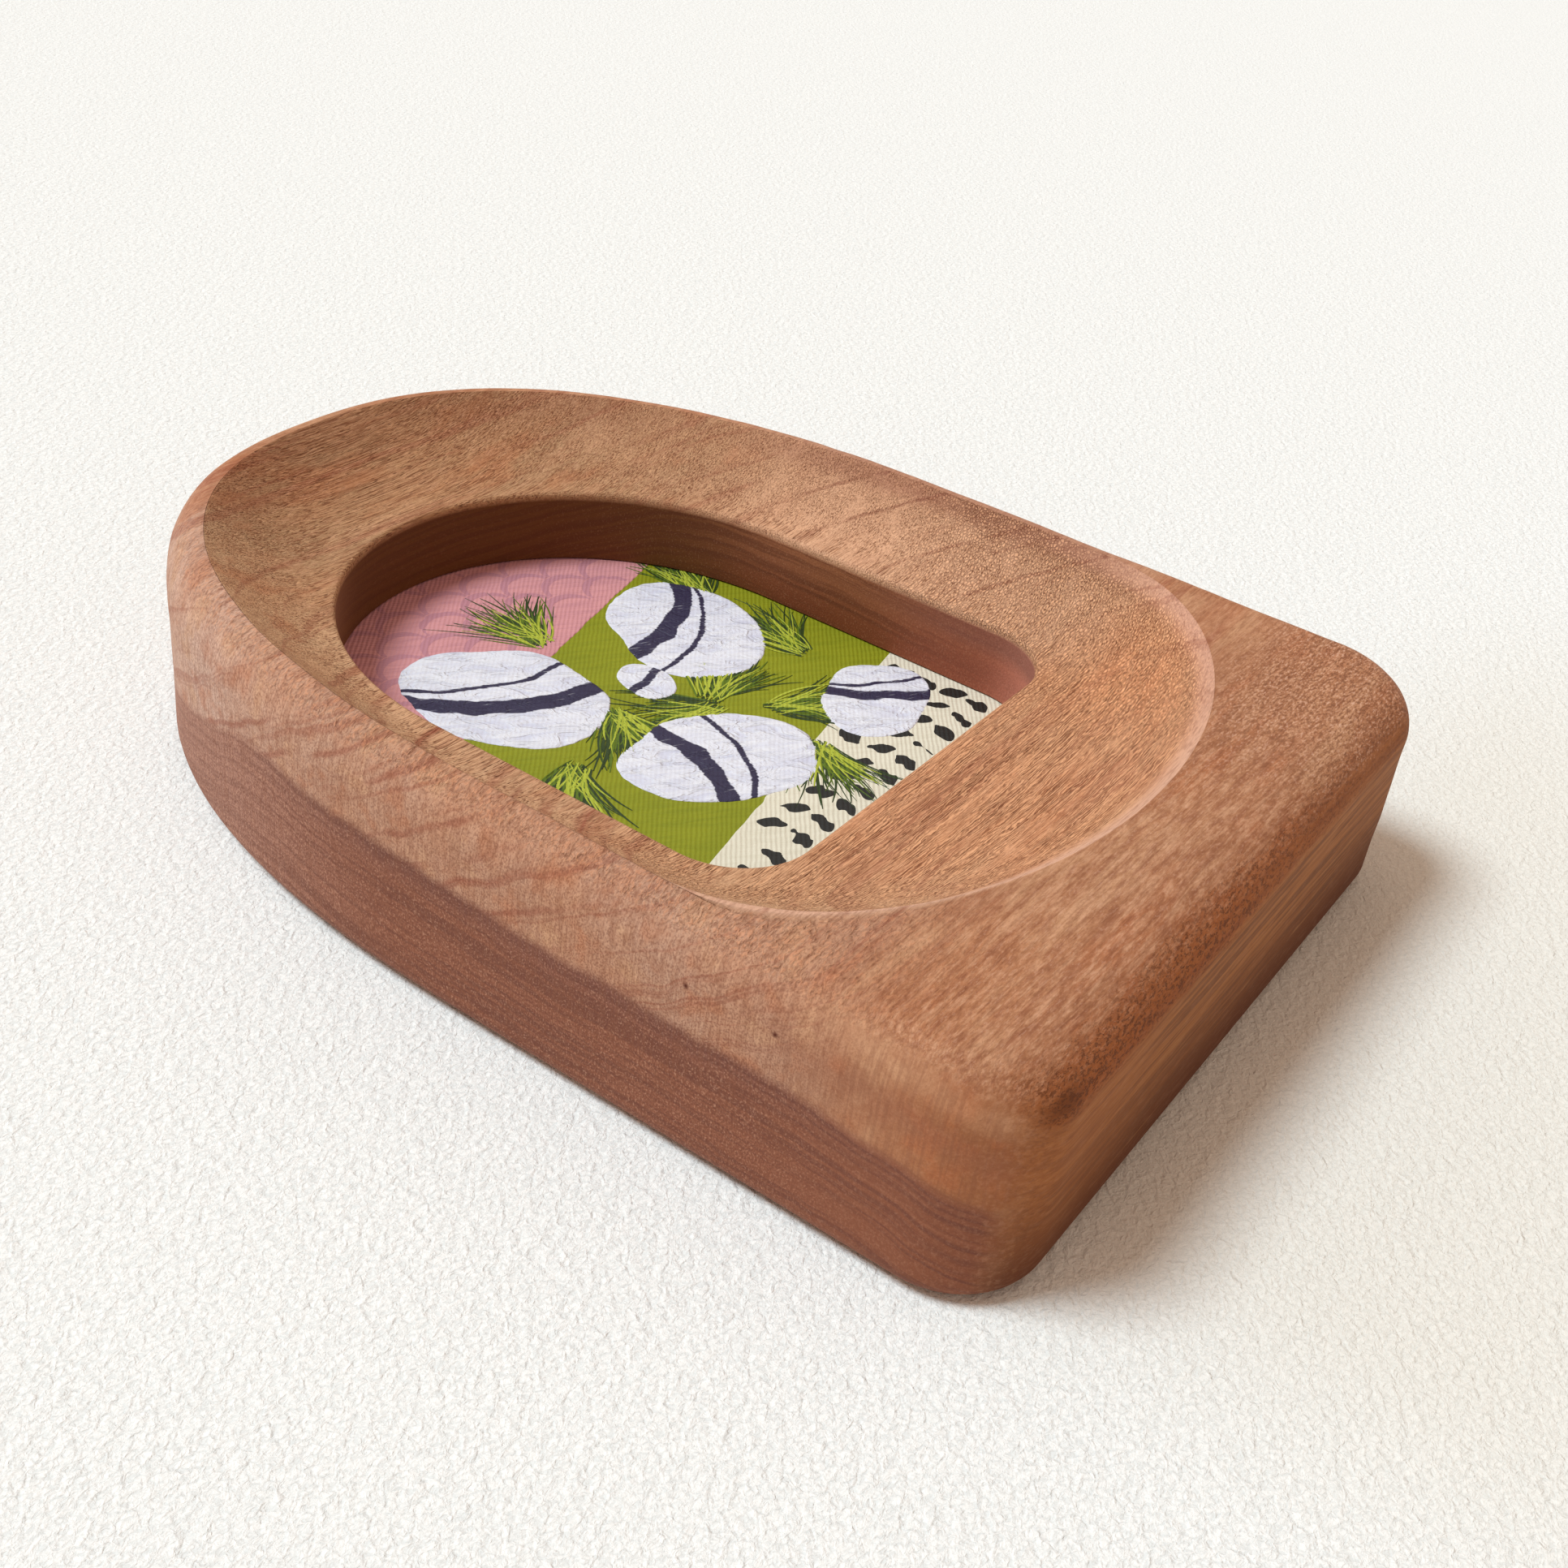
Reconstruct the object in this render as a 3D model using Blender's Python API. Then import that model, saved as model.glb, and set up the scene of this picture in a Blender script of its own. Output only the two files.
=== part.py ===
"""A carved hardwood picture frame with a small painting in it, lying on its back, face up.

Lengths are in metres. +Z is the front of the frame, +Y its arched head, and X its width.
The origin is the middle of the flat back. The block is one piece of wood: a D-shaped outline
with a round outer edge, a narrow ridge, and a dish that falls from the ridge to the window.
Behind the window, a rabbet holds a canvas panel and a backing board, kept in by four turn
buttons. They, their screws and the hanger lie in a recess, so that the back rests flat.
"""

import math

import bmesh
import bpy
from mathutils import Vector

MM = 0.001

# Window
WINDOW_WIDTH = 82.4 * MM
WINDOW_LENGTH = 98.7 * MM
WINDOW_ARCH_RISE = 43.8 * MM
WINDOW_ARCH_FULLNESS = 2.0
WINDOW_CORNER = 11.9 * MM
WINDOW_WALL = 12.4 * MM
WINDOW_ARRIS = 0.8 * MM

# Outline of the block, measured outwards from the window
SIDE_BORDER = 22.3 * MM
HEAD_BORDER = 26.1 * MM
FOOT_BORDER = 51.2 * MM
ARCH_RISE = 95.0 * MM
ARCH_FULLNESS = 2.35
FOOT_CORNER = 12.6 * MM
FACE_ROUND_WIDTH = 5.0 * MM
FOOT_ROUND_WIDTH = 9.0 * MM
FACE_ROUND_HEIGHT = 8.0 * MM
BACK_ROUND = 3.7 * MM
BACK_ROUND_LIMIT = 0.8

# Carved dish
RIDGE_WIDTH = 0.5 * MM
DISH_DEPTH = 10.0 * MM
DISH_RIM_SLOPE = 0.95
DISH_RING_CROWDING = 1.35
DISH_LAND = 17.8 * MM
DISH_SWEEP_RISE = 36.6 * MM

# Picture and backing, from the window's lip to the back
SEAT_GAP = 0.3 * MM
LIP = 5.0 * MM
PANEL_CLEARANCE = 0.5 * MM
CANVAS_THICKNESS = 0.6 * MM
PANEL_THICKNESS = 3.2 * MM
BACKING_THICKNESS = 3.0 * MM
PLATE_ARRIS = 0.2 * MM

# Turn buttons
BUTTON_THICKNESS = 1.2 * MM
BUTTON_REACH = 12.0 * MM
BUTTON_TAIL_RADIUS = 3.8 * MM
BUTTON_TIP_RADIUS = 2.6 * MM
BUTTON_PARKED_GAP = 0.8 * MM
BUTTON_WALL_GAP = 1.0 * MM
BUTTON_TIP_LIFT = 0.7 * MM
BUTTON_LIFT_LENGTH = 7.4 * MM
BUTTON_EDGE = 0.15 * MM
SIDE_BUTTON_FROM_FOOT = 24.0 * MM
SHOULDER_BUTTON_TURN = 52.0

# Fasteners
SCREW_DIAMETER = 3.0 * MM
SCREW_LENGTH = 12.0 * MM
SCREW_HEAD_DIAMETER = 6.0 * MM
SCREW_HEAD_HEIGHT = 1.6 * MM
SCREW_HEAD_RIM = 0.55 * MM
SCREW_POINT_LENGTH = 4.0 * MM
SCREW_POINT_WIDTH = 1.0 * MM
HEAD_SINK = 1.0 * MM
NAIL_DIAMETER = 1.6 * MM
NAIL_LENGTH = 9.0 * MM
NAIL_HEAD_DIAMETER = 3.6 * MM
NAIL_HEAD_HEIGHT = 0.7 * MM
NAIL_HEAD_BEVEL = 0.3 * MM
HOLE_DEPTH_SPARE = 0.5 * MM

# Sawtooth hanger
HANGER_LENGTH = 36.0 * MM
HANGER_WIDTH = 7.0 * MM
HANGER_THICKNESS = 0.8 * MM
HANGER_RISE = 2.0 * MM
HANGER_END = 6.5 * MM
HANGER_BEND = 2.5 * MM
HANGER_BEND_STEPS = 3
HANGER_TOOTH_PITCH = 2.0 * MM
HANGER_TOOTH_DEPTH = 1.2 * MM
HANGER_FROM_RABBET = 1.2 * MM

# Facets
FOOT_STEPS = 5
CORNER_STEPS = 7
SIDE_STEPS = 4
ARCH_STEPS = 20
ROUND_STEPS = 5
DISH_STEPS = 9
ARRIS_STEPS = 2
TURNED_SIDES = 20
BUTTON_TIP_POINTS = 12
BUTTON_TAIL_POINTS = 20
CUTTER_REACH = 1.0 * MM

# Places that follow from the sizes above
FRAME_WIDTH = WINDOW_WIDTH + 2 * SIDE_BORDER
FRAME_LENGTH = FOOT_BORDER + WINDOW_LENGTH + HEAD_BORDER
FOOT_Y = -FRAME_LENGTH / 2
HEAD_Y = FRAME_LENGTH / 2
WINDOW_FOOT_Y = FOOT_Y + FOOT_BORDER
WINDOW_HEAD_Y = WINDOW_FOOT_Y + WINDOW_LENGTH
RECESS_DEPTH = SEAT_GAP + BUTTON_THICKNESS + SEAT_GAP + SCREW_HEAD_HEIGHT + HEAD_SINK
BACKING_Z = RECESS_DEPTH
PANEL_Z = BACKING_Z + BACKING_THICKNESS + SEAT_GAP
CANVAS_Z = PANEL_Z + PANEL_THICKNESS + SEAT_GAP
LIP_Z = CANVAS_Z + CANVAS_THICKNESS + SEAT_GAP
WINDOW_EDGE_Z = LIP_Z + WINDOW_WALL
FRONT_Z = WINDOW_EDGE_Z + DISH_DEPTH
BUTTON_Z = RECESS_DEPTH - SEAT_GAP - BUTTON_THICKNESS
BUTTON_SETBACK = BUTTON_TAIL_RADIUS + BUTTON_PARKED_GAP
LEDGE_WIDTH = BUTTON_SETBACK + BUTTON_TAIL_RADIUS + BUTTON_WALL_GAP
REAR_RIM = SIDE_BORDER - LIP - LEDGE_WIDTH


def clear_scene():
    for obj in list(bpy.data.objects):
        bpy.data.objects.remove(obj, do_unlink=True)


def make_material(name, colour, roughness, metallic=0.0):
    material = bpy.data.materials.new(name)
    material.use_nodes = True
    shader = material.node_tree.nodes["Principled BSDF"]
    shader.inputs["Base Color"].default_value = (*colour, 1.0)
    shader.inputs["Roughness"].default_value = roughness
    shader.inputs["Metallic"].default_value = metallic
    material.diffuse_color = (*colour, 1.0)
    return material


def finish_object(name, mesh, material, smooth_angle=35.0):
    """Link a mesh as a named object with one material and smooth shading over soft edges."""
    mesh.materials.append(material)
    mesh.shade_smooth()
    mesh.set_sharp_from_angle(angle=math.radians(smooth_angle))
    obj = bpy.data.objects.new(name, mesh)
    bpy.context.scene.collection.objects.link(obj)
    return obj


def arch_half(half_width, spring_y, rise, fullness):
    """Right half of the arched head, from its spring to its crown."""
    points = []
    for step in range(ARCH_STEPS + 1):
        angle = math.radians(90 * step / ARCH_STEPS)
        across = max(math.cos(angle), 0.0) ** (2 / fullness)
        up = math.sin(angle) ** (2 / fullness)
        points.append((half_width * across, spring_y + rise * up))
    return points


def side_run(half_width, low_y, high_y):
    """Straight right side, without its top point."""
    return [(half_width, low_y + (high_y - low_y) * step / SIDE_STEPS) for step in range(SIDE_STEPS)]


def close_loop(right_half):
    """Whole loop from its right half, which runs from the middle of the foot to the crown."""
    return right_half + [(-x, y) for x, y in right_half[-2:0:-1]]


def d_loop(half_width, foot_y, head_y, arch_rise, fullness, corner):
    """D-shaped loop with a straight foot, round lower corners and an arched head."""
    inner = half_width - corner
    half = [(inner * step / FOOT_STEPS, foot_y) for step in range(FOOT_STEPS)]
    for step in range(CORNER_STEPS):
        angle = math.radians(90 * step / CORNER_STEPS)
        half.append((inner + corner * math.sin(angle), foot_y + corner * (1 - math.cos(angle))))
    spring_y = head_y - arch_rise
    half += side_run(half_width, foot_y + corner, spring_y)
    half += arch_half(half_width, spring_y, arch_rise, fullness)
    return close_loop(half)


def swept_loop(half_width, foot_y, head_y, arch_rise, fullness, sweep_rise):
    """Loop whose foot is a half ellipse, with as many points as d_loop gives."""
    steps = FOOT_STEPS + CORNER_STEPS
    half = []
    for step in range(steps):
        angle = math.radians(90 * step / steps)
        half.append((half_width * math.sin(angle), foot_y + sweep_rise * (1 - math.cos(angle))))
    spring_y = head_y - arch_rise
    half += side_run(half_width, foot_y + sweep_rise, spring_y)
    half += arch_half(half_width, spring_y, arch_rise, fullness)
    return close_loop(half)


def outline_loop(inset, foot_inset):
    """Outline of the block, moved inwards by inset, and along its foot by foot_inset."""
    return d_loop(
        FRAME_WIDTH / 2 - inset,
        FOOT_Y + foot_inset,
        HEAD_Y - inset,
        ARCH_RISE - inset,
        ARCH_FULLNESS,
        max(FOOT_CORNER - inset, FOOT_CORNER / 4),
    )


def window_loop(outset):
    """Outline of the window, moved outwards by outset."""
    return d_loop(
        WINDOW_WIDTH / 2 + outset,
        WINDOW_FOOT_Y - outset,
        WINDOW_HEAD_Y + outset,
        WINDOW_ARCH_RISE + outset,
        WINDOW_ARCH_FULLNESS,
        WINDOW_CORNER + outset,
    )


def dish_rim_loop():
    """Inner line of the ridge, which leaves the outline at the foot in a half ellipse."""
    inset = FACE_ROUND_WIDTH + RIDGE_WIDTH
    return swept_loop(
        FRAME_WIDTH / 2 - inset,
        FOOT_Y + DISH_LAND,
        HEAD_Y - inset,
        ARCH_RISE - inset,
        ARCH_FULLNESS,
        DISH_SWEEP_RISE,
    )


def recess_loop():
    """Recess in the back for the turn buttons and the hanger. It follows the outline but for its foot."""
    return d_loop(
        FRAME_WIDTH / 2 - REAR_RIM,
        WINDOW_FOOT_Y - LIP - LEDGE_WIDTH,
        HEAD_Y - REAR_RIM,
        ARCH_RISE - REAR_RIM,
        ARCH_FULLNESS,
        WINDOW_CORNER,
    )


def at_height(loop, z):
    return [Vector((x, y, z)) for x, y in loop]


def skin_rings(name, rings, closed_section, caps=False):
    """Mesh over rings of equal length. A closed section joins the last ring to the first."""
    bm = bmesh.new()
    rows = [[bm.verts.new(point) for point in ring] for ring in rings]
    pairs = list(zip(rows, rows[1:]))
    if closed_section:
        pairs.append((rows[-1], rows[0]))
    for low, high in pairs:
        for index in range(len(low)):
            after = (index + 1) % len(low)
            bm.faces.new((low[index], low[after], high[after], high[index]))
    if caps:
        bm.faces.new(list(reversed(rows[0])))
        bm.faces.new(rows[-1])
    bmesh.ops.recalc_face_normals(bm, faces=bm.faces)
    mesh = bpy.data.meshes.new(name)
    bm.to_mesh(mesh)
    bm.free()
    return mesh


def dish_point(rim_point, lip_point, share):
    """Point of the dish's section, which leaves the ridge at one slope all round and levels out."""
    start = Vector(rim_point)
    run = Vector(lip_point) - start
    flattening = max(DISH_RIM_SLOPE * run.length / DISH_DEPTH, 1.0)
    fall = DISH_DEPTH * (1 - (1 - share) ** flattening)
    return Vector((*(start + run * share), FRONT_Z - fall))


def dish_rings():
    """From the ridge down to the window's edge."""
    sections = list(zip(dish_rim_loop(), window_loop(WINDOW_ARRIS)))
    rings = []
    for step in range(DISH_STEPS + 1):
        share = (step / DISH_STEPS) ** DISH_RING_CROWDING
        rings.append([dish_point(rim_point, lip_point, share) for rim_point, lip_point in sections])
    return rings


def window_rings():
    """Soft edge of the window and its straight wall, down to the lip."""
    rings = []
    for step in range(1, ARRIS_STEPS + 1):
        angle = math.radians(90 * step / ARRIS_STEPS)
        outset = WINDOW_ARRIS * (1 - math.sin(angle))
        drop = WINDOW_ARRIS * (1 - math.cos(angle))
        rings.append(at_height(window_loop(outset), WINDOW_EDGE_Z - drop))
    rings.append(at_height(window_loop(0.0), LIP_Z))
    return rings


def rear_rings():
    """Rabbet for the panel and the backing, then the shallow recess round it."""
    return [
        at_height(window_loop(LIP), LIP_Z),
        at_height(window_loop(LIP), RECESS_DEPTH),
        at_height(recess_loop(), RECESS_DEPTH),
        at_height(recess_loop(), 0.0),
    ]


def outer_rings():
    """From the flat back round the outside to the top of the ridge."""
    back_round = min(BACK_ROUND, BACK_ROUND_LIMIT * REAR_RIM)
    rings = []
    for step in range(ROUND_STEPS + 1):
        angle = math.radians(90 * step / ROUND_STEPS)
        inset = back_round * (1 - math.sin(angle))
        rings.append(at_height(outline_loop(inset, inset), back_round * (1 - math.cos(angle))))
    for step in range(ROUND_STEPS + 1):
        angle = math.radians(90 * step / ROUND_STEPS)
        share = 1 - math.cos(angle)
        height = FRONT_Z - FACE_ROUND_HEIGHT * (1 - math.sin(angle))
        loop = outline_loop(FACE_ROUND_WIDTH * share, FOOT_ROUND_WIDTH * share)
        rings.append(at_height(loop, height))
    return rings


def hide_cutter(obj):
    obj.hide_render = True
    obj.display_type = "WIRE"


def turned(name, profile, sides=TURNED_SIDES):
    """Solid of revolution about Z. The profile runs up the outside, and its ends lie on the axis."""
    bm = bmesh.new()
    bottom = bm.verts.new((0, 0, profile[0][1]))
    top = bm.verts.new((0, 0, profile[-1][1]))
    rows = []
    for radius, z in profile[1:-1]:
        angles = [2 * math.pi * side / sides for side in range(sides)]
        rows.append([bm.verts.new((radius * math.cos(a), radius * math.sin(a), z)) for a in angles])
    for side in range(sides):
        after = (side + 1) % sides
        bm.faces.new((bottom, rows[0][after], rows[0][side]))
        bm.faces.new((top, rows[-1][side], rows[-1][after]))
        for low, high in zip(rows, rows[1:]):
            bm.faces.new((low[side], low[after], high[after], high[side]))
    mesh = bpy.data.meshes.new(name)
    bm.to_mesh(mesh)
    bm.free()
    return mesh


def drill(body, name, place, diameter, depth):
    """Blind hole in the body, drilled upwards from just below place."""
    radius = diameter / 2
    low = -CUTTER_REACH
    mesh = turned(name, [(0, low), (radius, low), (radius, depth), (0, depth)])
    cutter = bpy.data.objects.new(name, mesh)
    cutter.location = place
    bpy.context.scene.collection.objects.link(cutter)
    hide_cutter(cutter)
    cut = body.modifiers.new(name, "BOOLEAN")
    cut.operation = "DIFFERENCE"
    cut.solver = "EXACT"
    cut.object = cutter


def side_button_places():
    """Pivot and inward direction of the two buttons on the straight sides of the rabbet."""
    x = WINDOW_WIDTH / 2 + LIP + BUTTON_SETBACK
    y = WINDOW_FOOT_Y + SIDE_BUTTON_FROM_FOOT
    return [(Vector((x, y)), math.pi), (Vector((-x, y)), 0.0)]


def shoulder_button_places():
    """Pivot and inward direction of the two buttons on the arched head of the rabbet."""
    across = WINDOW_WIDTH / 2 + LIP
    rise = WINDOW_ARCH_RISE + LIP
    turn = math.radians(SHOULDER_BUTTON_TURN)
    spring_y = WINDOW_HEAD_Y - WINDOW_ARCH_RISE
    outward = Vector((math.cos(turn) / across, math.sin(turn) / rise)).normalized()
    on_wall = Vector((across * math.cos(turn), spring_y + rise * math.sin(turn)))
    pivot = on_wall + outward * BUTTON_SETBACK
    inward = math.atan2(-outward.y, -outward.x)
    mirrored = math.pi - inward
    return [(pivot, inward), (Vector((-pivot.x, pivot.y)), mirrored)]


def button_places():
    return side_button_places() + shoulder_button_places()


def hanger_centre_y():
    return WINDOW_HEAD_Y + LIP + HANGER_FROM_RABBET + HANGER_WIDTH / 2


def nail_places():
    x = HANGER_LENGTH / 2 - HANGER_END / 2
    return [Vector((x, hanger_centre_y())), Vector((-x, hanger_centre_y()))]


def build_frame_body(material):
    rings = outer_rings() + dish_rings() + window_rings() + rear_rings()
    mesh = skin_rings("frame_body", rings, closed_section=True)
    body = finish_object("frame_body", mesh, material, smooth_angle=50.0)
    screw_hole = SCREW_DIAMETER + 2 * SEAT_GAP
    screw_depth = SCREW_LENGTH - BUTTON_THICKNESS - 2 * SEAT_GAP + HOLE_DEPTH_SPARE
    for number, (pivot, _) in enumerate(button_places(), 1):
        place = (*pivot, RECESS_DEPTH)
        drill(body, f"screw_hole_{number}", place, screw_hole, screw_depth)
    nail_hole = NAIL_DIAMETER + 2 * SEAT_GAP
    nail_depth = NAIL_LENGTH - HANGER_THICKNESS - 2 * SEAT_GAP + HOLE_DEPTH_SPARE
    for number, centre in enumerate(nail_places(), 1):
        drill(body, f"nail_hole_{number}", (*centre, RECESS_DEPTH), nail_hole, nail_depth)
    return body


def build_plate(name, low_z, thickness, material):
    """Flat sheet cut to the rabbet, with eased edges."""
    outset = LIP - PANEL_CLEARANCE
    rings = [
        at_height(window_loop(outset - PLATE_ARRIS), low_z),
        at_height(window_loop(outset), low_z + PLATE_ARRIS),
        at_height(window_loop(outset), low_z + thickness - PLATE_ARRIS),
        at_height(window_loop(outset - PLATE_ARRIS), low_z + thickness),
    ]
    mesh = skin_rings(name, rings, closed_section=False, caps=True)
    return finish_object(name, mesh, material)


def button_outline(shrink):
    """Round tail at the pivot and a smaller round tip, joined by straight flanks."""
    tail = BUTTON_TAIL_RADIUS - shrink
    tip = BUTTON_TIP_RADIUS - shrink
    flank = math.acos((tail - tip) / BUTTON_REACH)
    points = []
    for step in range(BUTTON_TIP_POINTS):
        angle = -flank + 2 * flank * step / (BUTTON_TIP_POINTS - 1)
        points.append((BUTTON_REACH + tip * math.cos(angle), tip * math.sin(angle)))
    for step in range(BUTTON_TAIL_POINTS):
        angle = flank + (2 * math.pi - 2 * flank) * step / (BUTTON_TAIL_POINTS - 1)
        points.append((tail * math.cos(angle), tail * math.sin(angle)))
    return points


def button_ring(points, z):
    """Ring at height z, whose far end is bent away from the picture as a finger lift."""
    start = BUTTON_REACH + BUTTON_TIP_RADIUS - BUTTON_LIFT_LENGTH
    ring = []
    for x, y in points:
        bend = max(0.0, (x - start) / BUTTON_LIFT_LENGTH) ** 2
        ring.append(Vector((x, y, z - BUTTON_TIP_LIFT * bend)))
    return ring


def build_turn_button(number, pivot, direction, material):
    """Flat steel button. Its origin is on the screw's axis, and at rest it points at the picture."""
    hole_radius = SCREW_DIAMETER / 2 + SEAT_GAP
    count = BUTTON_TIP_POINTS + BUTTON_TAIL_POINTS
    first_angle = -math.pi * (BUTTON_TIP_POINTS - 1) / count
    angles = [first_angle + 2 * math.pi * step / count for step in range(count)]
    hole = [(hole_radius * math.cos(a), hole_radius * math.sin(a)) for a in angles]
    top = BUTTON_THICKNESS
    rings = [
        button_ring(hole, 0.0),
        button_ring(button_outline(BUTTON_EDGE), 0.0),
        button_ring(button_outline(0.0), BUTTON_EDGE),
        button_ring(button_outline(0.0), top - BUTTON_EDGE),
        button_ring(button_outline(BUTTON_EDGE), top),
        button_ring(hole, top),
    ]
    name = f"turn_button_{number}"
    mesh = skin_rings(name, rings, closed_section=True)
    button = finish_object(name, mesh, material)
    button.location = (*pivot, BUTTON_Z)
    button.rotation_euler = (0.0, 0.0, direction)
    return button


def pan_head(radius, height, rim, steps=4):
    """Rounded head, from its crown on the axis out to its rim. It hangs below z = 0."""
    profile = [(0.0, -height)]
    for step in range(1, steps + 1):
        angle = math.radians(90 * step / steps)
        drop = rim + (height - rim) * math.cos(angle)
        profile.append((radius * math.sin(angle), -drop))
    profile.append((radius, 0.0))
    return profile


def build_screw(number, pivot, material):
    """Pan-head wood screw, driven upwards through a turn button."""
    shank = SCREW_DIAMETER / 2
    point = SCREW_POINT_WIDTH / 2
    profile = pan_head(SCREW_HEAD_DIAMETER / 2, SCREW_HEAD_HEIGHT, SCREW_HEAD_RIM)
    profile += [
        (shank, 0.0),
        (shank, SCREW_LENGTH - SCREW_POINT_LENGTH),
        (point, SCREW_LENGTH - SCREW_POINT_WIDTH),
        (0.0, SCREW_LENGTH),
    ]
    name = f"turn_button_screw_{number}"
    screw = finish_object(name, turned(name, profile), material)
    screw.location = (*pivot, BUTTON_Z - SEAT_GAP)
    return screw


def hanger_height(x):
    """How far the strip stands below its ends: flat ends, a short bend, then a raised middle."""
    from_end = HANGER_LENGTH / 2 - abs(x) - HANGER_END
    share = min(max(from_end / HANGER_BEND, 0.0), 1.0)
    return HANGER_RISE * (0.5 - 0.5 * math.cos(math.pi * share))


def hanger_stations():
    """Places along the strip where its section changes: ends, bends and every tooth."""
    half = HANGER_LENGTH / 2
    bend_start = half - HANGER_END
    bend_end = bend_start - HANGER_BEND
    half_teeth = 2 * int((bend_end - HANGER_TOOTH_PITCH / 4) / HANGER_TOOTH_PITCH)
    tooth_xs = [HANGER_TOOTH_PITCH * step / 2 for step in range(-half_teeth, half_teeth + 1)]
    outer = [half, bend_start]
    for step in range(1, HANGER_BEND_STEPS + 1):
        outer.append(bend_start - HANGER_BEND * step / HANGER_BEND_STEPS)
    return sorted([-x for x in outer] + tooth_xs + outer), half_teeth


def build_hanger(material):
    """Serrated steel strip. Its teeth point to the foot of the frame."""
    stations, half_teeth = hanger_stations()
    low_y = hanger_centre_y() - HANGER_WIDTH / 2
    high_y = low_y + HANGER_WIDTH
    top = RECESS_DEPTH - SEAT_GAP
    rings = []
    for x in stations:
        half_pitches = round(2 * x / HANGER_TOOTH_PITCH)
        notched = abs(half_pitches) < half_teeth and half_pitches % 2
        notch = HANGER_TOOTH_DEPTH if notched else 0.0
        z = top - hanger_height(x)
        rings.append([
            Vector((x, low_y + notch, z - HANGER_THICKNESS)),
            Vector((x, high_y, z - HANGER_THICKNESS)),
            Vector((x, high_y, z)),
            Vector((x, low_y + notch, z)),
        ])
    mesh = skin_rings("sawtooth_hanger", rings, closed_section=False, caps=True)
    hanger = finish_object("sawtooth_hanger", mesh, material)
    hole = NAIL_DIAMETER + 2 * SEAT_GAP
    through = 2 * CUTTER_REACH + HANGER_THICKNESS
    for number, centre in enumerate(nail_places(), 1):
        place = (*centre, top - HANGER_THICKNESS)
        drill(hanger, f"hanger_hole_{number}", place, hole, through)
    return hanger


def build_nail(number, centre, material):
    """Flat-headed nail through one end of the hanger."""
    shank = NAIL_DIAMETER / 2
    head = NAIL_HEAD_DIAMETER / 2
    profile = [
        (0.0, -NAIL_HEAD_HEIGHT),
        (head - 2 * NAIL_HEAD_BEVEL, -NAIL_HEAD_HEIGHT),
        (head, NAIL_HEAD_BEVEL - NAIL_HEAD_HEIGHT),
        (head, 0.0),
        (shank, 0.0),
        (shank, NAIL_LENGTH - 2 * shank),
        (0.0, NAIL_LENGTH),
    ]
    name = f"hanger_nail_{number}"
    nail = finish_object(name, turned(name, profile), material)
    nail.location = (*centre, RECESS_DEPTH - 2 * SEAT_GAP - HANGER_THICKNESS)
    return nail


def main():
    clear_scene()
    wood = make_material("oiled_mahogany", (0.42, 0.21, 0.12), 0.55)
    canvas = make_material("painted_canvas", (0.42, 0.45, 0.10), 0.75)
    board = make_material("panel_board", (0.62, 0.55, 0.42), 0.85)
    hardboard = make_material("hardboard", (0.30, 0.19, 0.11), 0.80)
    steel = make_material("zinc_plated_steel", (0.60, 0.60, 0.58), 0.35, 1.0)
    brass = make_material("brassed_steel", (0.66, 0.49, 0.22), 0.35, 1.0)
    build_frame_body(wood)
    build_plate("painted_canvas", CANVAS_Z, CANVAS_THICKNESS, canvas)
    build_plate("panel_board", PANEL_Z, PANEL_THICKNESS, board)
    build_plate("backing_board", BACKING_Z, BACKING_THICKNESS, hardboard)
    for number, (pivot, direction) in enumerate(button_places(), 1):
        build_turn_button(number, pivot, direction, brass)
        build_screw(number, pivot, steel)
    build_hanger(steel)
    for number, centre in enumerate(nail_places(), 1):
        build_nail(number, centre, steel)


if __name__ == "__main__":
    main()
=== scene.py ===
"""Looks of an arched hardwood picture frame with a small abstract painting, lying on a pale sheet.

The axes are the frame's own: +Z out of its face, +Y to its head, X across it. Lengths are in metres,
and in the materials in millimetres.
"""

import math
import random

import bmesh
import bpy
import numpy as np
from mathutils import Matrix, Vector, noise


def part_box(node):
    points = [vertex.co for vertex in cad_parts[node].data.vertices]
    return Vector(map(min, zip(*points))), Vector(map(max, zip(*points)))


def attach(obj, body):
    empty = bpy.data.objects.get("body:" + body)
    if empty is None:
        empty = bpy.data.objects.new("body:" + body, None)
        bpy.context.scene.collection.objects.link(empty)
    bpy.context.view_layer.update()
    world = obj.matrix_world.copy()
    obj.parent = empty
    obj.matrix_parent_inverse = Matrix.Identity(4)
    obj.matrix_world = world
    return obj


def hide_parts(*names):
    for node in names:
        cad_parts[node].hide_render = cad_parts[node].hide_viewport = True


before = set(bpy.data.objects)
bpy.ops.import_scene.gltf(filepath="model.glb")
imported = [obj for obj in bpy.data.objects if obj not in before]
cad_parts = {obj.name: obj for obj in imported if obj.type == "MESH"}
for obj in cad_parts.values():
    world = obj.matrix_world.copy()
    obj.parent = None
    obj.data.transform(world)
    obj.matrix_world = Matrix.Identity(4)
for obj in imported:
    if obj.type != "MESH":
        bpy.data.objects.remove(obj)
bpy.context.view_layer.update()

MM = 0.001

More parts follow.
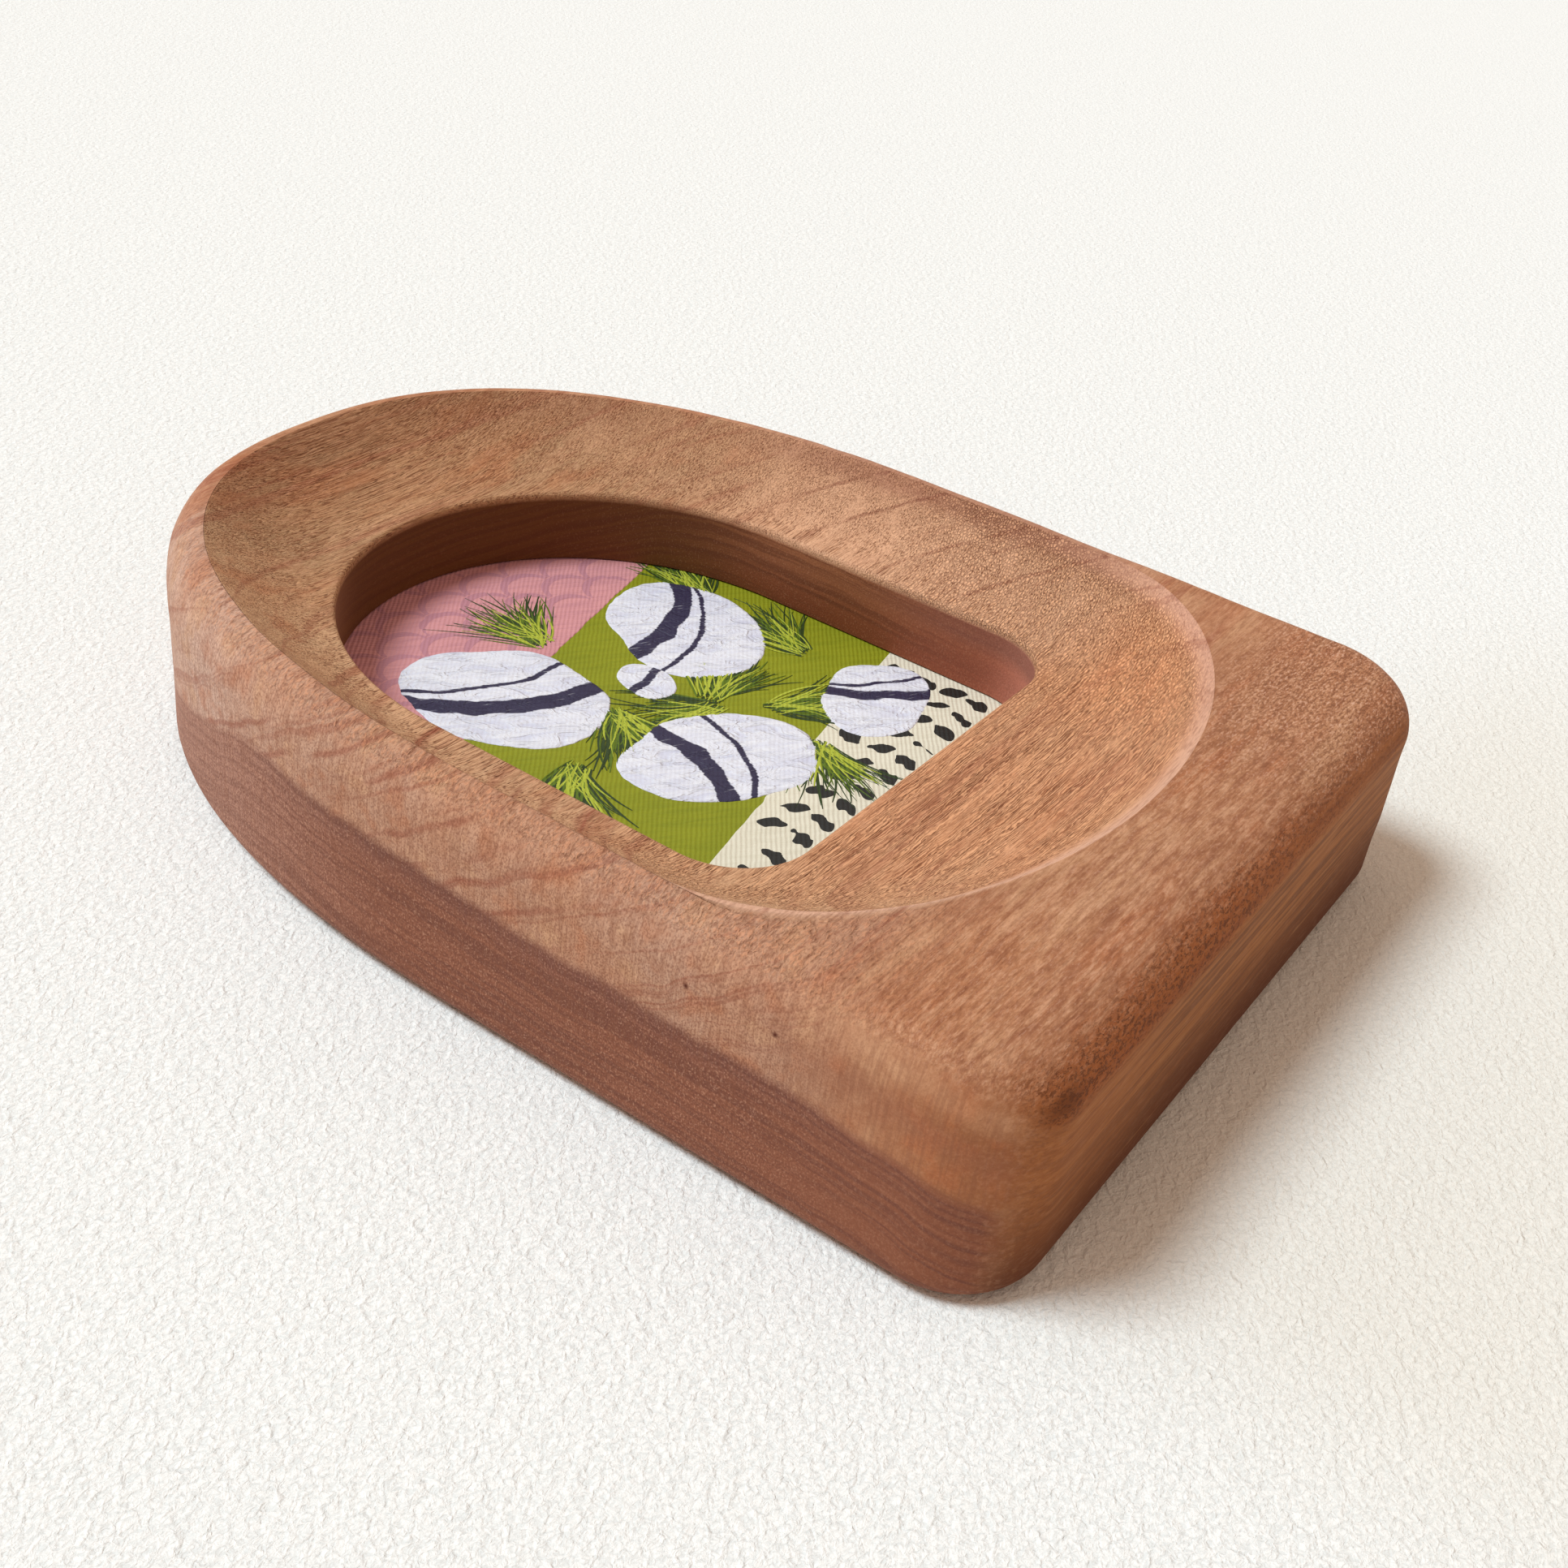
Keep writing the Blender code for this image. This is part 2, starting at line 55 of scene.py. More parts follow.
# Sizes that the solids give
BLOCK_LOW, BLOCK_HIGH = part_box("frame_body")
CANVAS_LOW, CANVAS_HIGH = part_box("painted_canvas")
CANVAS_UNDER_LIP = 4.5 * MM
WINDOW_HALF = CANVAS_HIGH.x - CANVAS_UNDER_LIP
WINDOW_FOOT = CANVAS_LOW.y + CANVAS_UNDER_LIP
WINDOW_HEAD = CANVAS_HIGH.y - CANVAS_UNDER_LIP
BLOCK_HALF = BLOCK_HIGH.x
FOOT_Y = BLOCK_LOW.y
HEAD_Y = BLOCK_HIGH.y
FRONT_Z = BLOCK_HIGH.z

# Shape of the block, as in the solids
WINDOW_ARCH_RISE = 43.8 * MM
WINDOW_ARCH_FULLNESS = 2.0
WINDOW_CORNER = 11.9 * MM
WINDOW_ARRIS = 0.8 * MM
ARCH_RISE = 95.0 * MM
ARCH_FULLNESS = 2.35
FOOT_CORNER = 12.6 * MM
FACE_ROUND_WIDTH = 5.0 * MM
FOOT_ROUND_WIDTH = 9.0 * MM
FACE_ROUND_HEIGHT = 8.0 * MM
BACK_ROUND = 3.7 * MM
RIDGE_WIDTH = 0.5 * MM
RIM_SHARPNESS = 0.1 * MM
DISH_DEPTH = 10.0 * MM
DISH_RIM_SLOPE = 0.95
DISH_RING_CROWDING = 1.35
DISH_LAND = 17.8 * MM
DISH_SWEEP_RISE = 36.6 * MM
LIP = 5.0 * MM
LIP_Z = 12.1 * MM
RECESS_DEPTH = 4.4 * MM
REAR_RIM = 7.9 * MM
LEDGE_WIDTH = 9.4 * MM
EASED_EDGE = 0.3 * MM

# Mesh density of the block
FOOT_STEPS = 64
CORNER_STEPS = 30
SIDE_STEPS = 50
ARCH_STEPS = 190
BACK_ROUND_STEPS = 8
SIDE_RINGS = 22
FACE_ROUND_STEPS = 20
RIDGE_STEPS = 4
DISH_STEPS = 52
ARRIS_STEPS = 5
WALL_RINGS = 14

# Work by hand on the block
CREST_REACH = 9
CREST_PASSES = 24
CREST_SOFTENING = 0.45
CREST_MIDDLE_Y = 5 * MM
CREST_SPREAD = 42 * MM
SLOW_UNEVENNESS = 0.16
QUICK_UNEVENNESS = 0.05
LIP_OF_DISH = 3.4 * MM


def rgb(red, green, blue):
    """Linear colour from the 0 to 255 values that a screen shows."""
    shares = [value / 255 for value in (red, green, blue)]
    linear = [c / 12.92 if c <= 0.04045 else ((c + 0.055) / 1.055) ** 2.4 for c in shares]
    return (*linear, 1.0)


class Value:
    """A number or colour that a shader node gives at each point, with plain arithmetic on it."""

    def __init__(self, nodes, socket):
        self.nodes = nodes
        self.socket = socket

    def __add__(self, other):
        return self.nodes.math("ADD", self, other)

    def __sub__(self, other):
        return self.nodes.math("SUBTRACT", self, other)

    def __rsub__(self, other):
        return self.nodes.math("SUBTRACT", other, self)

    def __mul__(self, other):
        return self.nodes.math("MULTIPLY", self, other)

    def __truediv__(self, other):
        return self.nodes.math("DIVIDE", self, other)

    def __abs__(self):
        return self.nodes.math("ABSOLUTE", self)

    def rise(self, low, high, at_low=0.0, at_high=1.0):
        """Smooth step from at_low to at_high while this value goes from low to high."""
        inputs = {0: self, 1: low, 2: high, 3: at_low, 4: at_high}
        return self.nodes.add("MapRange", 0, inputs, interpolation_type="SMOOTHSTEP")

    def fall(self, low, high, at_high=0.0):
        """Smooth step from 1 to at_high while this value goes from low to high."""
        return self.rise(low, high, 1.0, at_high)


class Nodes:
    """A material whose shader nodes are added and linked by short calls. Lengths are in millimetres."""

    def __init__(self, name):
        self.material = bpy.data.materials.new(name)
        self.material.use_nodes = True
        self.tree = self.material.node_tree
        metres = self.add("TexCoord", "Object")
        self.place = self.add("VectorMath", 0, {0: metres, "Scale": 1 / MM}, operation="SCALE")
        self.x, self.y, self.z = self.split(self.place)

    def feed(self, socket, value):
        if isinstance(value, Value):
            self.tree.links.new(value.socket, socket)
        else:
            socket.default_value = value

    def add(self, kind, output=0, inputs=None, **settings):
        """What a new node gives at one of its outputs."""
        node = self.tree.nodes.new("ShaderNode" + kind)
        for key, value in settings.items():
            setattr(node, key, value)
        for key, value in (inputs or {}).items():
            self.feed(node.inputs[key], value)
        return Value(self, node.outputs[output])

    def math(self, operation, first, second=0.0, clamp=False):
        return self.add("Math", 0, {0: first, 1: second}, operation=operation, use_clamp=clamp)

    def attribute(self, name):
        return self.add("Attribute", "Fac", attribute_name=name)

    def split(self, vector):
        node = self.add("SeparateXYZ", 0, {0: vector}).socket.node
        return [Value(self, output) for output in node.outputs]

    def join(self, x, y, z):
        return self.add("CombineXYZ", 0, {0: x, 1: y, 2: z})

    def cells(self, size, along=None, turn=(0.0, 0.0, 0.0), shift=(0.0, 0.0, 0.0)):
        """Coordinates in which one unit is the given size along each axis."""
        turned = self.add("Mapping", 0, {"Vector": along or self.place, "Rotation": turn})
        scale = [1 / length for length in size]
        return self.add("Mapping", 0, {"Vector": turned, "Scale": scale, "Location": shift})

    def noise(self, size, detail=2.0, roughness=0.5, distortion=0.0, **where):
        inputs = {"Vector": self.cells(size, **where), "Scale": 1.0, "Detail": detail,
                  "Roughness": roughness, "Distortion": distortion}
        return self.add("TexNoise", 0, inputs)

    def voronoi(self, size, feature="F1", **where):
        inputs = {"Vector": self.cells(size, **where), "Scale": 1.0, "Randomness": 1.0}
        return self.add("TexVoronoi", "Distance", inputs, feature=feature)

    def mix(self, share, first, second):
        return self.add("Mix", 2, {0: share, 6: first, 7: second}, data_type="RGBA", clamp_factor=True)

    def coats(self, colour, coats):
        """Colour with others laid over it in turn, each given by its share and its screen values."""
        for share, *screen_values in coats:
            colour = self.mix(share, colour, rgb(*screen_values))
        return colour

    def near(self, x, y, z, radius):
        """1 at a point and 0 from radius on."""
        distance = self.add("VectorMath", "Value", {0: self.place, 1: (x, y, z)}, operation="DISTANCE")
        return distance.fall(0.0, radius)

    def curve(self, value, points):
        """Smooth curve through points whose places and values lie from 0 to 1."""
        curved = self.add("FloatCurve", 0, {"Value": value})
        mapping = curved.socket.node.mapping
        line = mapping.curves[0]
        for index, point in enumerate(points):
            if index < len(line.points):
                line.points[index].location = point
            else:
                line.points.new(*point)
        mapping.update()
        return curved

    def finish(self, colour, roughness, height, metallic=0.0, specular=0.5):
        """Feed the shader with a colour, a roughness and the height of the relief."""
        relief = self.add("Bump", 0, {"Height": height, "Strength": 1.0, "Distance": MM})
        inputs = {"Base Color": colour, "Roughness": roughness, "Normal": relief,
                  "Metallic": metallic, "Specular IOR Level": specular}
        for name, value in inputs.items():
            self.feed(self.tree.nodes["Principled BSDF"].inputs[name], value)
        return self.material


# Wood, with its lengths in millimetres

DARK_EDGE_SPAN = (-88.0, 88.0)
DARK_EDGE_HEIGHTS = ((-88.0, 14.2), (-82.5, 16.5), (-72.7, 19.1), (-61.6, 19.9), (-38.3, 20.5),
                     (-12.8, 21.1), (16.0, 22.1), (34.0, 22.5), (45.0, 19.6), (55.0, 15.8), (88.0, 4.0))
DARK_EDGE_TOP = 40.0
RING_SLOPE = 0.62
RING_PLACES = (12.2, 18.0, 21.5, 26.6, 34.5, 40.0, 46.0)
PIN_KNOTS = ((-63.5, -43.1, 26.4), (-63.5, -55.7, 26.6))
GROOVE_PITCH = 0.42
LIMB_LINE_SLOPE = 1.85
LIMB_LINES = ((71.8, 27.5), (60.0, 24.0), (44.0, 24.0), (38.9, 29.0), (30.1, 24.0))


class Wood(Nodes):
    """Oiled, open-pored wood with its fibres along X, so that the left and right sides show end grain.

    Its values are shares that say on which face of the block a point lies, the grain's direction, and
    the height above the edge of the dark layer.
    """

    def __init__(self):
        super().__init__("oiled_wood")
        waver = self.noise((34, 12, 12)) - 0.5
        self.grain = self.join(self.x, self.y + waver * 1.6, self.z + waver * 0.8)
        normal_x, normal_y, normal_z = self.split(self.add("NewGeometry", "Normal"))
        self.dish, self.wall, self.lip = [self.attribute(name) for name in ("dish", "wall", "lip")]
        self.not_wall = 1 - self.wall
        outside = self.math("SUBTRACT", 1.0, self.dish, clamp=True)
        self.left = self.x.fall(-50, -20)
        self.right = self.x.rise(0, 44)
        self.foot = self.y.fall(-84, -42)
        self.head = self.y.rise(12, 48)
        self.crown = normal_z.rise(0.35, 0.75) * outside
        self.side = normal_z.fall(0.35, 0.75) * outside
        self.end_grain = abs(normal_x).rise(0.45, 0.95)
        self.land = self.crown * self.y.fall(-72, -56)
        self.foot_face = normal_y.fall(-0.95, -0.6) * outside
        self.right_limb = self.x.rise(30, 42) * self.y.rise(-48, -30) * self.y.fall(14, 40, 0.2)
        self.above = self.above_dark_layer()
        self.dark = self.above.fall(-1.6, 0.6) * self.side * (1 - self.foot_face)

    def streaks(self, size, *settings, **where):
        """Noise that follows the grain."""
        return self.noise(size, *settings, along=self.grain, **where)

    def above_dark_layer(self):
        low, high = DARK_EDGE_SPAN
        points = [((y - low) / (high - low), height / DARK_EDGE_TOP) for y, height in DARK_EDGE_HEIGHTS]
        edge = self.curve((self.y - low) / (high - low), points) * DARK_EDGE_TOP
        sway = (self.noise((60, 16, 30), 4.0, 0.6) - 0.5) * 3.0
        return self.z - edge + sway


def growth_rings(n):
    """Share of the dark lines that the growth rings leave."""
    bend = (n.noise((70, 14, 14), 3.0) - 0.5) * 6.0
    tilted = n.z + n.y * RING_SLOPE + bend
    lines = 0.0
    for place in RING_PLACES:
        lines = abs(tilted - place).fall(0.1, 0.9) + lines
    shown = n.noise((30, 14, 14), shift=(4, 2, 7)).rise(0.38, 0.56)
    fan = n.noise((62.5, 50.0, 1.5), 3.0, 0.6, along=n.join(n.x, n.z, tilted))
    return lines * shown + fan.rise(0.52, 0.68, 0.0, 0.8)


def foot_band(n):
    """Scorched band on the rounded edge over the foot, darkest at its left end."""
    level = n.z + (n.noise((5.0, 1.2, 1.2), 4.0, 0.7) - 0.5) * 4.5
    along = n.x.rise(-61, -54) * n.x.fall(-20, 45, 0.5)
    return level.fall(31.4, 34.0) * level.rise(26.0, 28.5) * n.y.fall(-83.0, -78.0) * along


def side_bands(n):
    """Soft light and dark growth bands that follow the edge of the dark layer on the left side."""
    shown = n.left * (1 - n.dish) * n.foot.rise(0.0, 0.5)
    red = n.above.rise(2.5, 6.0) * n.above.fall(6.5, 9.5)
    pale = n.above.rise(9.0, 11.5) * n.above.fall(12.0, 14.5)
    return [(red * shown * 0.34, 150, 94, 70), (pale * shown * 0.28, 206, 158, 122)]


def dark_layer(n, layers):
    """Dark heartwood of the lower side, purplish below its edge, paler to the head, browner to the foot."""
    return n.coats(rgb(141, 88, 67), [
        (n.above.rise(-6, -0.8), 128, 84, 72),
        (n.y.rise(0, 45), 172, 126, 108),
        (n.foot * 0.7, 134, 80, 55),
        (layers.rise(0.44, 0.60) * n.y.rise(5, 45, 0.65, 0.35), 104, 62, 52),
        (layers.rise(0.28, 0.42, 0.22, 0.0), 172, 116, 90),
    ])


def dish_wood(n, cloud):
    """Wood of the dish: tan on the left, olive at the head, orange on the right, and painted paler on the
    lip as a highlight.
    """
    middle = n.mix(n.left, rgb(217, 158, 118), rgb(206, 168, 132))
    head = n.mix(n.left, rgb(171, 136, 101), rgb(222, 186, 147))
    # Painted highlight: the lip inside the foot's ridge, whose slope faces the light, is painted paler.
    lip = n.mix(n.right, rgb(216, 171, 145), rgb(211, 161, 137))
    dish = n.coats(n.mix(n.head, middle, head), [
        (cloud.rise(0.35, 0.65, 0.0, 0.35), 218, 159, 114),
        (n.near(38.0, -50.0, 28.0, 22.0), 246, 172, 122),
    ])
    return n.mix(n.lip, dish, lip)


def outer_wood(n, cloud):
    """Wood of the crown and the sides, paler on the left."""
    left_side = n.mix(n.head, rgb(191, 150, 126), rgb(208, 174, 156))
    left_side = n.mix(n.foot, left_side, rgb(156, 100, 64))
    return n.coats(n.mix(n.left, rgb(178, 125, 92), left_side), [
        (n.land, 171, 119, 86),
        (cloud.rise(0.35, 0.65, 0.0, 0.3), 194, 130, 88),
    ])


def wall_wood_and_shade(n, layers):
    """Wood of the window's wall: painted shade makes it darkest at the head, where it faces away from the
    light; pinkish at its right end.
    """
    end = n.y.fall(-34, 6) * n.x.rise(20, 36)
    corner = n.y.fall(-37, -20) * n.x.rise(24, 36)
    return n.coats(rgb(120, 64, 39), [
        (n.z.rise(13, 23), 150, 95, 64),
        # Painted shade on the wall at the head.
        (n.y.rise(15, 40), 106, 65, 33),
        (layers.rise(0.42, 0.6, 0.0, 0.55), 88, 46, 28),
        (n.x.rise(-34, -12, 0.5, 0.0), 168, 116, 82),
        (end * 0.6, 174, 100, 80),
        (corner * 0.6, 214, 140, 120),
        (end * n.z.rise(18, 21, 0.0, 0.6), 130, 88, 78),
    ])


def foot_wood(n):
    """Wood of the straight foot, darker below."""
    streak = n.streaks((40.0, 0.9, 0.9), 3.0, 0.65, shift=(2, 8, 5))
    return n.coats(rgb(102, 53, 20), [
        (n.z.rise(6, 22), 165, 105, 56),
        (streak.rise(0.40, 0.62, 0.0, 0.7), 98, 56, 30),
        (streak.rise(0.30, 0.40, 0.35, 0.0), 178, 132, 88),
        (n.left * n.z.rise(6, 22, 0.2, 0.5), 158, 94, 48),
    ])


def limb_coats(n):
    """Right limb of the dish: pale wood with a pinkish outer strip and a few slanting dark red lines."""
    sway = n.noise((9.0, 4.0, 9.0), 3.0, 0.6, shift=(6, 3, 9)) - 0.5
    across = n.y + n.z * LIMB_LINE_SLOPE + sway * 2.5
    shown = n.noise((7.0, 5.0, 7.0), shift=(1, 8, 4)).rise(0.34, 0.56, 0.25, 1.0) * n.dish
    coats = [
        (n.right_limb * 0.7, 232, 187, 153),
        (n.right_limb * n.z.rise(30.5, 33.0) * 0.65, 158, 104, 84),
    ]
    for middle, start in LIMB_LINES:
        line = abs(across - middle).fall(0.1, 1.0) * shown * n.z.rise(start, start + 1)
        coats.append((line * 0.62, 128, 66, 52))
    return coats


def wood_base(n, band):
    """Colour of the wood without its pores and fibres, with painted shade inside the rim at the head and
    along the foot's lower edge.
    """
    streak = n.streaks((26.0, 1.3, 1.3), 3.0, 0.6)
    short_streak = n.streaks((5.0, 0.9, 0.9), 2.0, 0.55, shift=(8, 2, 6))
    cloud = n.noise((34, 15, 15), 3.0)
    hue = n.streaks((24.0, 6.0, 6.0), 3.0, 0.55, shift=(3, 5, 1))
    layers = n.noise((83.3333, 45.4545, 0.8), 3.0, 0.65, along=n.join(n.x, n.y, n.above))
    not_lip = 1 - n.lip
    on_top = n.land * n.right.fall(0.0, 1.0, 0.5)
    # Painted shade: a darker strip inside the rim at the head, where the dish's slope faces away from the
    # light.
    painted_rim_shade = n.y.rise(40, 66) * n.z.rise(27, 33) * n.dish * n.x.rise(-40, -20)
    ring_share = growth_rings(n) * n.foot.fall(0.3, 0.9) * (1 - n.right_limb * 0.7)
    # Painted shade: darker along the foot's lower edge, next to the floor.
    painted_foot_edge_shade = n.y.fall(-86.5, -83) * n.z.rise(2, 9, 0.75, 0.0)

    colour = n.coats(n.mix(n.dish, outer_wood(n, cloud), dish_wood(n, cloud)), [
        (hue.rise(0.52, 0.68, 0.0, 0.45) * not_lip, 208, 162, 124),
        (hue.rise(0.32, 0.48, 0.45, 0.0) * not_lip, 178, 104, 64),
        (streak.rise(0.38, 0.72, 0.0, 0.36) * not_lip, 150, 92, 60),
        (on_top * short_streak.rise(0.50, 0.64, 0.0, 0.45), 136, 82, 58),
        (on_top * short_streak.rise(0.36, 0.48, 0.4, 0.0), 208, 160, 126),
        *limb_coats(n),
        # Painted shade inside the rim at the head.
        (painted_rim_shade * 0.4, 124, 76, 52),
        (ring_share * 0.60, 144, 76, 56),
        *side_bands(n),
    ])
    colour = n.mix(n.dark, colour, dark_layer(n, layers))
    colour = n.mix(n.foot_face, colour, foot_wood(n))
    # Painted shade along the foot's lower edge, then the foot band's own colour.
    colour = n.coats(colour, [(painted_foot_edge_shade, 84, 38, 14), (band * 0.7, 158, 84, 32)])
    return n.mix(n.wall, colour, wall_wood_and_shade(n, layers))


def fine_marks(n, colour):
    """Stipple, blotches and wrinkles: the colour with them, and their relief. The wrinkles get a painted
    highlight on their tops and painted shade in their hollows.
    """
    stipple = n.streaks((0.6, 0.27, 0.34), 2.0, 0.6)
    speck = n.streaks((0.9, 0.36, 0.4), 3.0, 0.75, shift=(5, 9, 4))
    blotch = n.streaks((2.6, 0.6, 0.6), 3.0, 0.6, shift=(9, 4, 2))
    wrinkle_with_shading = n.noise((0.95, 0.46, 0.50), 2.0, 0.6, 0.5, shift=(1, 6, 3))
    lump = n.noise((2.0, 1.3, 1.3), 1.0, 0.5, 0.4, shift=(4, 4, 1))
    sanding = n.noise((90.0, 0.42, 6.0), 2.0, 0.5, shift=(2, 2, 2))
    on_end = (n.end_grain * 0.5 + 0.3) * (n.not_wall * 0.5 + 0.5)
    on_end = on_end * n.foot.fall(0.1, 0.8, 0.30) * (n.dark * 0.35 + 0.95)
    shoulder = n.crown * n.left * n.foot.fall(0.0, 1.0, 0.2)
    on_land = n.land * (n.right * 0.7 + 0.3)
    flat = (1 - n.end_grain * 0.7) * n.not_wall * (1 - n.foot_face * 0.75)

    colour = n.coats(colour, [
        (blotch.rise(0.46, 0.70, 0.0, 0.28) * flat, 224, 172, 138),
        (blotch.rise(0.32, 0.48, 0.34, 0.0) * flat, 132, 76, 48),
        (stipple.rise(0.48, 0.62) * on_end * 0.60, 114, 68, 52),
        (stipple.fall(0.30, 0.46) * on_end * 0.34, 222, 172, 142),
        (sanding.rise(0.46, 0.60, 0.0, 0.30) * n.side * n.end_grain, 132, 82, 60),
        (speck.rise(0.49, 0.60) * on_land * 0.75, 116, 72, 50),
        (speck.fall(0.36, 0.46) * on_land * 0.6, 226, 184, 160),
        # Painted highlight on the wrinkles' tops and painted shade in their hollows, on the left shoulder.
        (wrinkle_with_shading.rise(0.50, 0.62) * shoulder * 0.38, 222, 152, 112),
        (wrinkle_with_shading.fall(0.36, 0.47) * shoulder * 0.42, 134, 80, 58),
    ])
    height = stipple * on_end * -0.08 + speck * on_land * -0.10 + blotch * flat * 0.06
    return colour, height + (wrinkle_with_shading * 0.45 + lump * 0.75) * shoulder


def wood_marks(n, band, colour):
    """Colour with pores, fibres and finer marks, and the relief that they leave. The dish's grooves get
    painted shade, and the crests between them a painted highlight.
    """
    patchy = n.streaks((16.0, 3.0, 3.0), shift=(7, 1, 3))
    pore = n.voronoi((2.2, 0.34, 0.34), along=n.grain).fall(0.12, 0.30)
    pitted = n.streaks((0.9, 0.45, 0.45), 3.0, 0.8, shift=(3, 3, 8)).rise(0.50, 0.60) * band
    fibre = n.streaks((12.0, 0.24, 0.24), 2.0, 0.6)
    in_dish = n.dish * n.not_wall
    open_dish = in_dish * n.lip.fall(0.05, 0.6) * patchy.rise(0.30, 0.55, 0.35, 1.0)
    scale = n.voronoi((1.1, 0.45, 0.45), "DISTANCE_TO_EDGE", along=n.grain, shift=(3, 7, 2))
    scaly = in_dish * n.x.rise(8, 34) * n.y.fall(-14, 6, 0.25) * n.lip.fall(0.3, 1.0, 0.3)
    gap = scale.fall(0.02, 0.15) * scaly
    flake = scale.rise(0.16, 0.32) * scaly
    turns = n.y / GROOVE_PITCH + n.streaks((6.0, 1.1, 1.1), 3.0, 0.6, shift=(5, 1, 7)) * 5.0
    wave = n.math("SINE", turns * (2 * math.pi))
    grooved = open_dish * n.y.fall(-30, -12, 0.4)
    # Grooves sunk into the dish, with painted shade in them and a painted highlight on the crests between
    # them.
    groove_with_shade = wave.rise(0.1, 0.9) * grooved
    crest = wave.fall(-0.9, 0.1) * grooved
    fibre_share = open_dish * 0.55 + (1 - n.end_grain) * 0.24
    pores = pore * (open_dish * (n.left * 0.3 + 0.62) + 0.08)
    scorch = n.near(-54.0, -87.0, 29.0, 6.0) * patchy.rise(0.35, 0.6, 0.35, 1.0)

    colour, height = fine_marks(n, colour)
    colour = n.coats(colour, [
        (fibre.rise(0.48, 0.64) * fibre_share, 112, 62, 36),
        (pores, 90, 48, 28),
        (gap * 0.34, 124, 70, 44),
        (flake * 0.48, 248, 188, 144),
        # Painted shade in the grooves and painted highlight on their crests.
        (groove_with_shade * 0.32, 126, 72, 44),
        (crest * 0.42, 244, 184, 138),
        (pitted * 0.75, 92, 48, 22),
        (scorch * 0.7, 96, 50, 22),
        *[(n.near(*knot, 0.65), 84, 34, 22) for knot in PIN_KNOTS],
    ])
    height = height + pores * -0.08 + fibre * (open_dish * 1.1 + 0.35) * -0.12
    return colour, height + groove_with_shade * -0.09 + pitted * -0.06 + gap * -0.10


def wood_material():
    n = Wood()
    band = foot_band(n)
    colour, height = wood_marks(n, band, wood_base(n, band))
    return n.finish(colour, 0.68, height, specular=0.16)


# Mesh of the block, from closed loops of equal length

def steps(count):
    return np.arange(count) / count


def whole_loop(foot, half_width, low_y, head_y, rise, fullness):
    """Closed loop from the right half of its foot, its straight sides from low_y up and its arched head."""
    spring_y = head_y - rise
    side = np.column_stack([np.full(SIDE_STEPS, half_width), low_y + (spring_y - low_y) * steps(SIDE_STEPS)])
    angle = np.radians(np.linspace(0.0, 90.0, ARCH_STEPS + 1))
    across = np.maximum(np.cos(angle), 0.0) ** (2 / fullness)
    up = np.sin(angle) ** (2 / fullness)
    arch = np.column_stack([half_width * across, spring_y + rise * up])
    half = np.concatenate([foot, side, arch])
    return np.concatenate([half, half[-2:0:-1] * [-1, 1]])


def d_loop(half_width, foot_y, head_y, arch_rise, fullness, corner):
    """D-shaped loop with a straight foot, round lower corners and an arched head."""
    inner = half_width - corner
    straight = np.column_stack([inner * steps(FOOT_STEPS), np.full(FOOT_STEPS, foot_y)])
    angle = np.radians(90 * steps(CORNER_STEPS))
    bend = np.column_stack([inner + corner * np.sin(angle), foot_y + corner * (1 - np.cos(angle))])
    foot = np.concatenate([straight, bend])
    return whole_loop(foot, half_width, foot_y + corner, head_y, arch_rise, fullness)


def outline_loop(inset, foot_inset):
    corner = max(FOOT_CORNER - inset, FOOT_CORNER / 4)
    rise = ARCH_RISE - inset
    return d_loop(BLOCK_HALF - inset, FOOT_Y + foot_inset, HEAD_Y - inset, rise, ARCH_FULLNESS, corner)


def window_loop(outset):
    rise = WINDOW_ARCH_RISE + outset
    corner = WINDOW_CORNER + outset
    low, high = WINDOW_FOOT - outset, WINDOW_HEAD + outset
    return d_loop(WINDOW_HALF + outset, low, high, rise, WINDOW_ARCH_FULLNESS, corner)


def dish_rim_loop():
    """Loop whose foot is a half ellipse, with as many points as the other loops have."""
    inset = FACE_ROUND_WIDTH + RIDGE_WIDTH
    half_width = BLOCK_HALF - inset
    foot_y = FOOT_Y + DISH_LAND
    angle = np.radians(90 * steps(FOOT_STEPS + CORNER_STEPS))
    foot = np.column_stack([half_width * np.sin(angle), foot_y + DISH_SWEEP_RISE * (1 - np.cos(angle))])
    low_y = foot_y + DISH_SWEEP_RISE
    return whole_loop(foot, half_width, low_y, HEAD_Y - inset, ARCH_RISE - inset, ARCH_FULLNESS)


def recess_loop(outset=0.0):
    inset = REAR_RIM - outset
    foot_y = WINDOW_FOOT - LIP - LEDGE_WIDTH - outset
    corner = WINDOW_CORNER + outset
    return d_loop(BLOCK_HALF - inset, foot_y, HEAD_Y - inset, ARCH_RISE - inset, ARCH_FULLNESS, corner)


def at_height(loop, z):
    return np.column_stack([loop, np.full(len(loop), z)])


